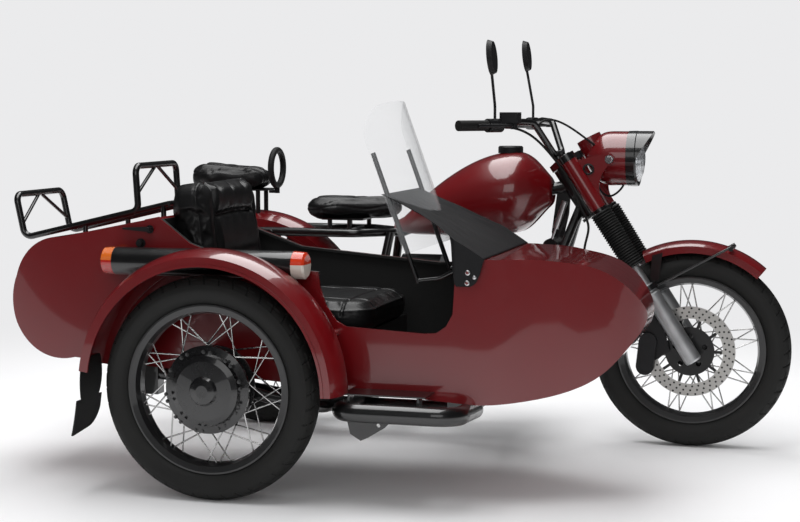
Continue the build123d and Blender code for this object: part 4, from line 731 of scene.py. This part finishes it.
for name, node, wide, narrow, dip, slope in (
    ("riderSaddle", "rider_saddle", 0.134, 0.066, 0.004, 0.0),
    ("passengerSaddle", "passenger_saddle", 0.128, 0.082, 0.004, 0.026),
):
    low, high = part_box(node)
    end, below, above = saddleSettings["inset"]
    form = saddleForm(low.x + end, high.x - end, wide, narrow, low.z + below, high.z - above,
                      dip, slope, saddleSettings)
    saddle = build(name, [form], leather, "chassis")
    puff(saddle, saddleSettings)
    sculpt(saddle, saddleFolds(low.x, high.x, high.z))
    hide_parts(node)
print("saddles made")


cushionSettings = {
    "voxel": 0.007, "pressure": 4.0, "cap": 0.014, "stiffness": 12.0, "bending": 0.5, "shrink": -0.02,
    "corner": 7, "lowInset": (0.006, 0.006, 0.002), "highInset": (0.006, 0.006, 0.016),
    "panelShare": 0.55,  # of the half width, between the side seams
    "panelIn": 0.10,  # front seam, from the front edge
    "weltDown": 0.030,  # below the top
}


def roundedBlock(low, high, corner, rows=33, around=72):
    # a block with rounded corners: a squared circle carried up, drawn in at both ends
    t = np.linspace(-1, 1, rows)
    size = (1 - np.abs(t) ** 6) ** (1 / 6)
    size = np.maximum(size, 0.01)
    turn = np.linspace(0, 2 * math.pi, around, endpoint=False)
    across = squared(np.cos(turn), 2 / corner)
    along = squared(np.sin(turn), 2 / corner)
    centre, half = (np.array(low) + np.array(high)) / 2, (np.array(high) - np.array(low)) / 2
    points = np.stack([
        centre[0] + half[0] * size[:, None] * across,
        centre[1] + half[1] * size[:, None] * along,
        centre[2] + half[2] * t[:, None] + 0 * turn,
    ], axis=-1)
    return closeEnds(points)


def makeSeatCushion(settings):
    low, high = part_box("seat_cushion")
    foot, top = low + Vector(settings["lowInset"]), high - Vector(settings["highInset"])
    form = roundedBlock(foot, top, settings["corner"])
    cushion = build("seatCushion", [grid(form, wrapColumns=True)], leather, "chassis")
    puff(cushion, settings)
    front, half = high.x, (high.y - low.y) / 2

    def seams(points):
        across = np.abs(points[:, 1] - bodyY)
        top = points[:, 2] > high.z - 0.045
        sideSeam = line(across - half * settings["panelShare"], 0.0035)
        frontSeam = line(points[:, 0] - (front - settings["panelIn"]), 0.0035)
        panel = sideSeam + frontSeam
        welt = line(points[:, 2] - (high.z - settings["weltDown"]), 0.003)
        ripple = np.sin(points[:, 0] * 60 + np.sin(points[:, 1] * 22) * 2) * 0.0010
        return np.where(top, -0.0060 * np.clip(panel, 0, 1) + ripple, 0) + 0.0025 * welt

    sculpt(cushion, seams)
    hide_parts("seat_cushion")


backSettings = {
    "voxel": 0.007, "pressure": 4.0, "cap": 0.016, "stiffness": 12.0, "bending": 0.4, "shrink": -0.03,
    "corner": 6, "thick": 0.092, "half": 0.232,
    "foot": (-0.486, 0.566), "top": (-0.524, 0.904),  # x and z
}


def makeSeatBack(settings):
    footX, footZ = settings["foot"]
    topX, topZ = settings["top"]
    length = math.hypot(topX - footX, topZ - footZ)
    up = np.array([(topX - footX) / length, 0, (topZ - footZ) / length])
    ahead = np.array([up[2], 0, -up[0]])
    deep, half = settings["thick"] / 2, settings["half"]
    form = roundedBlock(Vector((-deep, -half, 0)), Vector((deep, half, length)), settings["corner"])
    origin = np.array([footX, bodyY, footZ])
    placed = origin + form[..., :1] * ahead + form[..., 1:2] * np.array([0, 1, 0]) + form[..., 2:] * up
    back = build("seatBack", [grid(placed, wrapColumns=True)], leather, "chassis")
    puff(back, settings)

    def seams(points):
        # a centre panel between two upright seams, two cross tucks, pleats that run from the tucks
        rise = (points - origin) @ up / length
        across = (points[:, 1] - bodyY) / settings["half"]
        depth = (points - origin) @ ahead
        facing = np.clip((depth - 0.008) / 0.02, 0, 1)
        sideSeam = line((np.abs(across) - 0.60 - 0.10 * np.sin(rise * 3.0)) * settings["half"], 0.005)
        inside = np.clip((0.66 - np.abs(across)) / 0.06, 0, 1)
        bow = 0.05 * np.cos(across * 2.2)
        upperTuck = line((rise - 0.66 - bow * 0.4) * length, 0.007) * inside
        lowerTuck = line((rise - 0.20 + bow) * length, 0.008) * inside
        nearTucks = line(rise - 0.66, 0.10) + line(rise - 0.20, 0.12)
        pleats = np.sin(across * 21 + 4 * np.sin(rise * 5)) * 0.0018 * nearTucks
        lowerPuff = np.cos((rise - 0.43) * math.pi / 0.46).clip(0, 1)
        upperPuff = np.cos((rise - 0.83) * math.pi / 0.34).clip(0, 1)
        puffed = 0.012 * (lowerPuff + upperPuff)
        welt = line(depth - 0.030, 0.003) * 0.003
        cut = -0.012 * np.clip(sideSeam + upperTuck + lowerTuck, 0, 1)
        return facing * (cut + pleats + puffed * inside) + welt

    sculpt(back, seams)
    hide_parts("seat_back")


makeSeatCushion(cushionSettings)
makeSeatBack(backSettings)
print("sidecar seat made")


# Apron: one sheet from the screen down to the cowl, with a flap that hangs over each side

apronSettings = {
    "along": 56,
    "across": 72,
    "hang": 22,  # rows of a flap
    "top": ((0.080, 0.8675), (0.262, 0.7825), (0.404, 0.6975)),  # x and z along the middle
    "edge": ((0.080, 0.200), (0.222, 0.226), (0.318, 0.2985)),  # x and half width
    # x, and the share of the way down to the foot that the flap hangs
    "flap": ((0.306, 0.0), (0.316, 0.9), (0.324, 1.0), (0.366, 1.0), (0.380, 0.9), (0.392, 0.62),
             (0.403, 0.0)),
    "flapFoot": 0.621,
    "proud": 0.0008,
    "thick": 0.0016,
}


def apronSheet(settings):
    # rows run along the motorcycle, columns from hem to hem over both flaps
    path = arcThrough(*settings["top"], settings["along"])
    edge = arcThrough(*settings["edge"], 60)
    x, z = path[:, 0], path[:, 1]
    half = np.interp(x, edge[:, 0], edge[:, 1])
    places, share = np.array(settings["flap"]).T
    foot = z - np.maximum(z - settings["flapFoot"], 0) * np.interp(x, places, share)
    down = np.linspace(1, 0, settings["hang"], endpoint=False)
    flat = np.linspace(-1, 1, settings["across"])
    side = np.concatenate([-np.ones(len(down)), flat, np.ones(len(down))])
    hang = np.concatenate([down, 0 * flat, down[::-1]])
    # the middle sags a little between the screen and the cowl, with soft folds towards the corners
    run = (x - x[0]) / (x[-1] - x[0])
    sag = -0.006 * np.sin(math.pi * run)[:, None] * (1 - side[None] ** 2)
    fold = np.sin(side[None] * 7 + 9 * run[:, None]) * np.sin(side[None] * 19 - 5 * run[:, None])
    fold = 0.0022 * fold * np.sin(math.pi * run)[:, None] * (hang[None] == 0)
    wave = 0.0012 * np.sin(hang[None] * 9 + x[:, None] * 90) * hang[None]
    height = z[:, None] + (foot - z)[:, None] * hang[None] + sag + fold + settings["proud"]
    reach = side[None] * (half[:, None] + settings["proud"] + np.abs(wave))
    return np.stack([x[:, None] + 0 * hang[None], bodyY + reach, height], axis=-1)


apronPoints = apronSheet(apronSettings)
apron = build("apronSheet", [grid(apronPoints)], vinyl, "chassis", angle=60)
thick = apron.modifiers.new("thick", "SOLIDIFY")
thick.thickness = apronSettings["thick"]
thick.offset = 0.0
applyModifier(apron, thick)
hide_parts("apron")


# Small fasteners: domed studs and bolts, each a profile turned about its own axis

studSettings = {
    "proud": 0.0022,  # the flap's face, beyond the edge of the apron
    "ringPlaces": ((0.3578, 0.6607), (0.3560, 0.6320)),  # x and z
    "ring": (0.0075, 0.0030),  # radius and height
    "centre": (0.0075 * 0.55, 0.0022),
    "centreProud": 0.0024,
    "buttonPlaces": ((0.3770, 0.6480),),
    "button": (0.0060, 0.0035),
}
sidecarBoltSettings = {
    "pairs": 10,
    "firstTurn": 0.2,  # radians, to the middle of the first pair
    "halfGap": 0.09,  # radians, from a pair's middle to each of the two
    "deep": 0.012,  # in from the hub's outer end
    "reach": 0.113,  # from the axle's line
    "head": (0.0042, 0.006),  # radius and height
}
frontBoltSettings = {"count": 5, "reach": 0.036, "head": (0.006, 0.005)}
earSettings = {
    "half": 0.1005,  # from the middle to an ear's face
    "boltPlace": (0.604, 0.948),  # x and z
    "bolt": (0.0105, 0.009),
    "grommetPlace": (0.536, 0.915),
    "section": ((0.0128, 0.0), (0.0128, 0.003), (0.0150, 0.0045), (0.0185, 0.003), (0.0190, 0.0)),
}


def studs(places, y, radius, tall):
    # low domes with a rounded rim, facing the sidecar's outer side
    rows = np.array([[0, 1.0], [0.45, 0.94], [0.8, 0.72], [0.97, 0.36], [1.0, 0.0]])
    return [spun((x, y, z), rows * (radius, -tall), 20) for x, z in places]


def hexHead(centre, radius, tall, toward=-1):
    # a washer under a six-sided head
    rim, under = radius * 1.35, toward * tall * 0.3
    washer = spun(centre, np.array([[0, under], [rim, under], [rim, 0]]), 20)
    top = toward * tall
    head = spun(centre, np.array([[0, top], [radius * 0.92, top], [radius, top * 0.85], [radius, 0]]), 6)
    return [washer, head]


def boltCircle(hub, y, turns, settings):
    # six-sided heads on a circle about an axle
    bolts, reach = [], settings["reach"]
    for turn in turns:
        place = (hub.x + reach * math.cos(turn), y, hub.z + reach * math.sin(turn))
        bolts += hexHead(place, *settings["head"])
    return bolts


def makeApronStuds(settings):
    flapY = bodyY - apronSettings["edge"][-1][1] - settings["proud"]
    rings = studs(settings["ringPlaces"], flapY, *settings["ring"])
    centres = studs(settings["ringPlaces"], flapY - settings["centreProud"], *settings["centre"])
    buttons = studs(settings["buttonPlaces"], flapY, *settings["button"])
    build("apronStuds", rings, brightSteel, "chassis")
    build("apronStudCentres", centres, bodyPaint, "chassis")
    build("apronButton", buttons, brightSteel, "chassis")


def makeSidecarHubBolts(settings):
    pairs = np.arange(settings["pairs"]) * 2 * math.pi / settings["pairs"] + settings["firstTurn"]
    turns = [turn + gap for turn in pairs for gap in (-settings["halfGap"], settings["halfGap"])]
    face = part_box("sidecar_hub")[0].y + settings["deep"]
    build("sidecarHubBolts", boltCircle(sideHub, face, turns, settings), framePaint, "sidecar_wheel")


def makeEarFasteners(settings):
    # on each side a bolt with its washer through the ear, and a grommet in the ear's hole
    boltX, boltZ = settings["boltPlace"]
    grommetX, grommetZ = settings["grommetPlace"]
    bolts, grommets = [], []
    for side in (-1, 1):
        face = bikeY + side * settings["half"]
        bolts += hexHead((boltX, face, boltZ), *settings["bolt"], side)
        ring = np.array(settings["section"]) * (1, side)
        grommets.append(spun((grommetX, face, grommetZ), ring, 28))
    build("lampBolts", bolts, chromed, "front_fork")
    build("lampGrommets", grommets, blackRubber, "front_fork")


def makeFrontHubBolts(settings):
    turns = np.arange(settings["count"]) * 2 * math.pi / settings["count"]
    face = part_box("front_hub")[0].y
    build("frontHubBolts", boltCircle(frontHub, face, turns, settings), brightSteel, "front_wheel")


makeApronStuds(studSettings)
makeSidecarHubBolts(sidecarBoltSettings)
makeEarFasteners(earSettings)
makeFrontHubBolts(frontBoltSettings)
print("fasteners made")


# Light and floor: broad soft lamps over a pale floor that ends in front of the sidecar, so
# the lower half of the body mirrors the floor and the upper half the dark room

lightSettings = [
    # name, place, aim, width, depth, watts, seen in reflections
    ("overhead", (-0.3, 0.1, 4.2), (0.0, 0.1, 0.3), 5.5, 2.6, 200, True),
    ("front", (1.2, -6.5, 3.0), (0.1, 0.0, 0.6), 4.5, 3.0, 60, True),
    ("behind", (-2.0, 5.0, 3.6), (0.0, 0.0, 0.6), 5.0, 2.5, 55, False),
]


def makeLight(name, place, aim, width, depth, watts, mirrored):
    data = bpy.data.lights.new(name, "AREA")
    data.shape = "RECTANGLE"
    data.size, data.size_y, data.energy = width, depth, watts
    lamp = bpy.data.objects.new(name, data)
    lamp.location = place
    lamp.rotation_euler = (Vector(aim) - Vector(place)).to_track_quat("-Z", "Y").to_euler()
    lamp.visible_glossy = mirrored
    bpy.context.scene.collection.objects.link(lamp)


for row in lightSettings:
    makeLight(*row)


worldSettings = {"ambient": 0.5, "background": (0.83, 0.83, 0.84), "mirrored": (0.035, 0.035, 0.037)}


def makeWorld(settings):
    # the room lights softly, is pale behind the picture and dark where paint mirrors it
    world = bpy.data.worlds.new("studio")
    bpy.context.scene.world = world
    world.use_nodes = True
    tree = world.node_tree
    tree.nodes.clear()
    out = tree.nodes.new("ShaderNodeOutputWorld")
    rays = tree.nodes.new("ShaderNodeLightPath")
    light = tree.nodes.new("ShaderNodeBackground")
    light.inputs["Color"].default_value = rgb(1, 1, 1)
    light.inputs["Strength"].default_value = settings["ambient"]
    last = light
    for ray, colour in (
        ("Is Glossy Ray", settings["mirrored"]),
        ("Is Transmission Ray", settings["background"]),
        ("Is Camera Ray", settings["background"]),
    ):
        show = tree.nodes.new("ShaderNodeBackground")
        show.inputs["Color"].default_value = rgb(*colour)
        mix = tree.nodes.new("ShaderNodeMixShader")
        tree.links.new(rays.outputs[ray], mix.inputs[0])
        tree.links.new(last.outputs[0], mix.inputs[1])
        tree.links.new(show.outputs[0], mix.inputs[2])
        last = mix
    tree.links.new(last.outputs[0], out.inputs["Surface"])


makeWorld(worldSettings)


# The floor keeps the shadow near the object; further out the camera sees the background's tone

floorSettings = {"side": 10.0, "front": -3.6, "back": 12.0, "near": 2.1, "far": 3.8}


def floorFinish(settings, background):
    paint = Paint("floorPaint")
    x, y, z = paint.axes()
    away = (x ** 2.0 + y ** 2.0).root().ramp(settings["near"], settings["far"])
    seen = paint.node("ShaderNodeLightPath", {}, {}, "Is Camera Ray")
    paint.set(Base_Color=paint.mix(paint.noise(1.2), rgb(0.84, 0.84, 0.85), rgb(0.88, 0.88, 0.89)),
              Roughness=0.7 + 0.1 * paint.noise(9.0))
    glow = paint.tree.nodes.new("ShaderNodeEmission")
    glow.inputs["Color"].default_value = rgb(*background)
    mixed = paint.tree.nodes.new("ShaderNodeMixShader")
    paint.feed(mixed.inputs[0], away * seen)
    paint.tree.links.new(paint.shader.outputs[0], mixed.inputs[1])
    paint.tree.links.new(glow.outputs[0], mixed.inputs[2])
    paint.tree.links.new(mixed.outputs[0], paint.tree.nodes["Material Output"].inputs["Surface"])
    return paint


def makeFloor(settings, finish):
    side, front, back = settings["side"], settings["front"], settings["back"]
    mesh = bpy.data.meshes.new("floor")
    corners = [(-side, front, 0), (side, front, 0), (side, back, 0), (-side, back, 0)]
    mesh.from_pydata(corners, [], [(0, 1, 2, 3)])
    floor = bpy.data.objects.new("floor", mesh)
    mesh.materials.append(finish.material)
    bpy.context.scene.collection.objects.link(floor)


makeFloor(floorSettings, floorFinish(floorSettings, worldSettings["background"]))
bpy.context.scene.view_settings.view_transform = "Standard"
print("studio made")
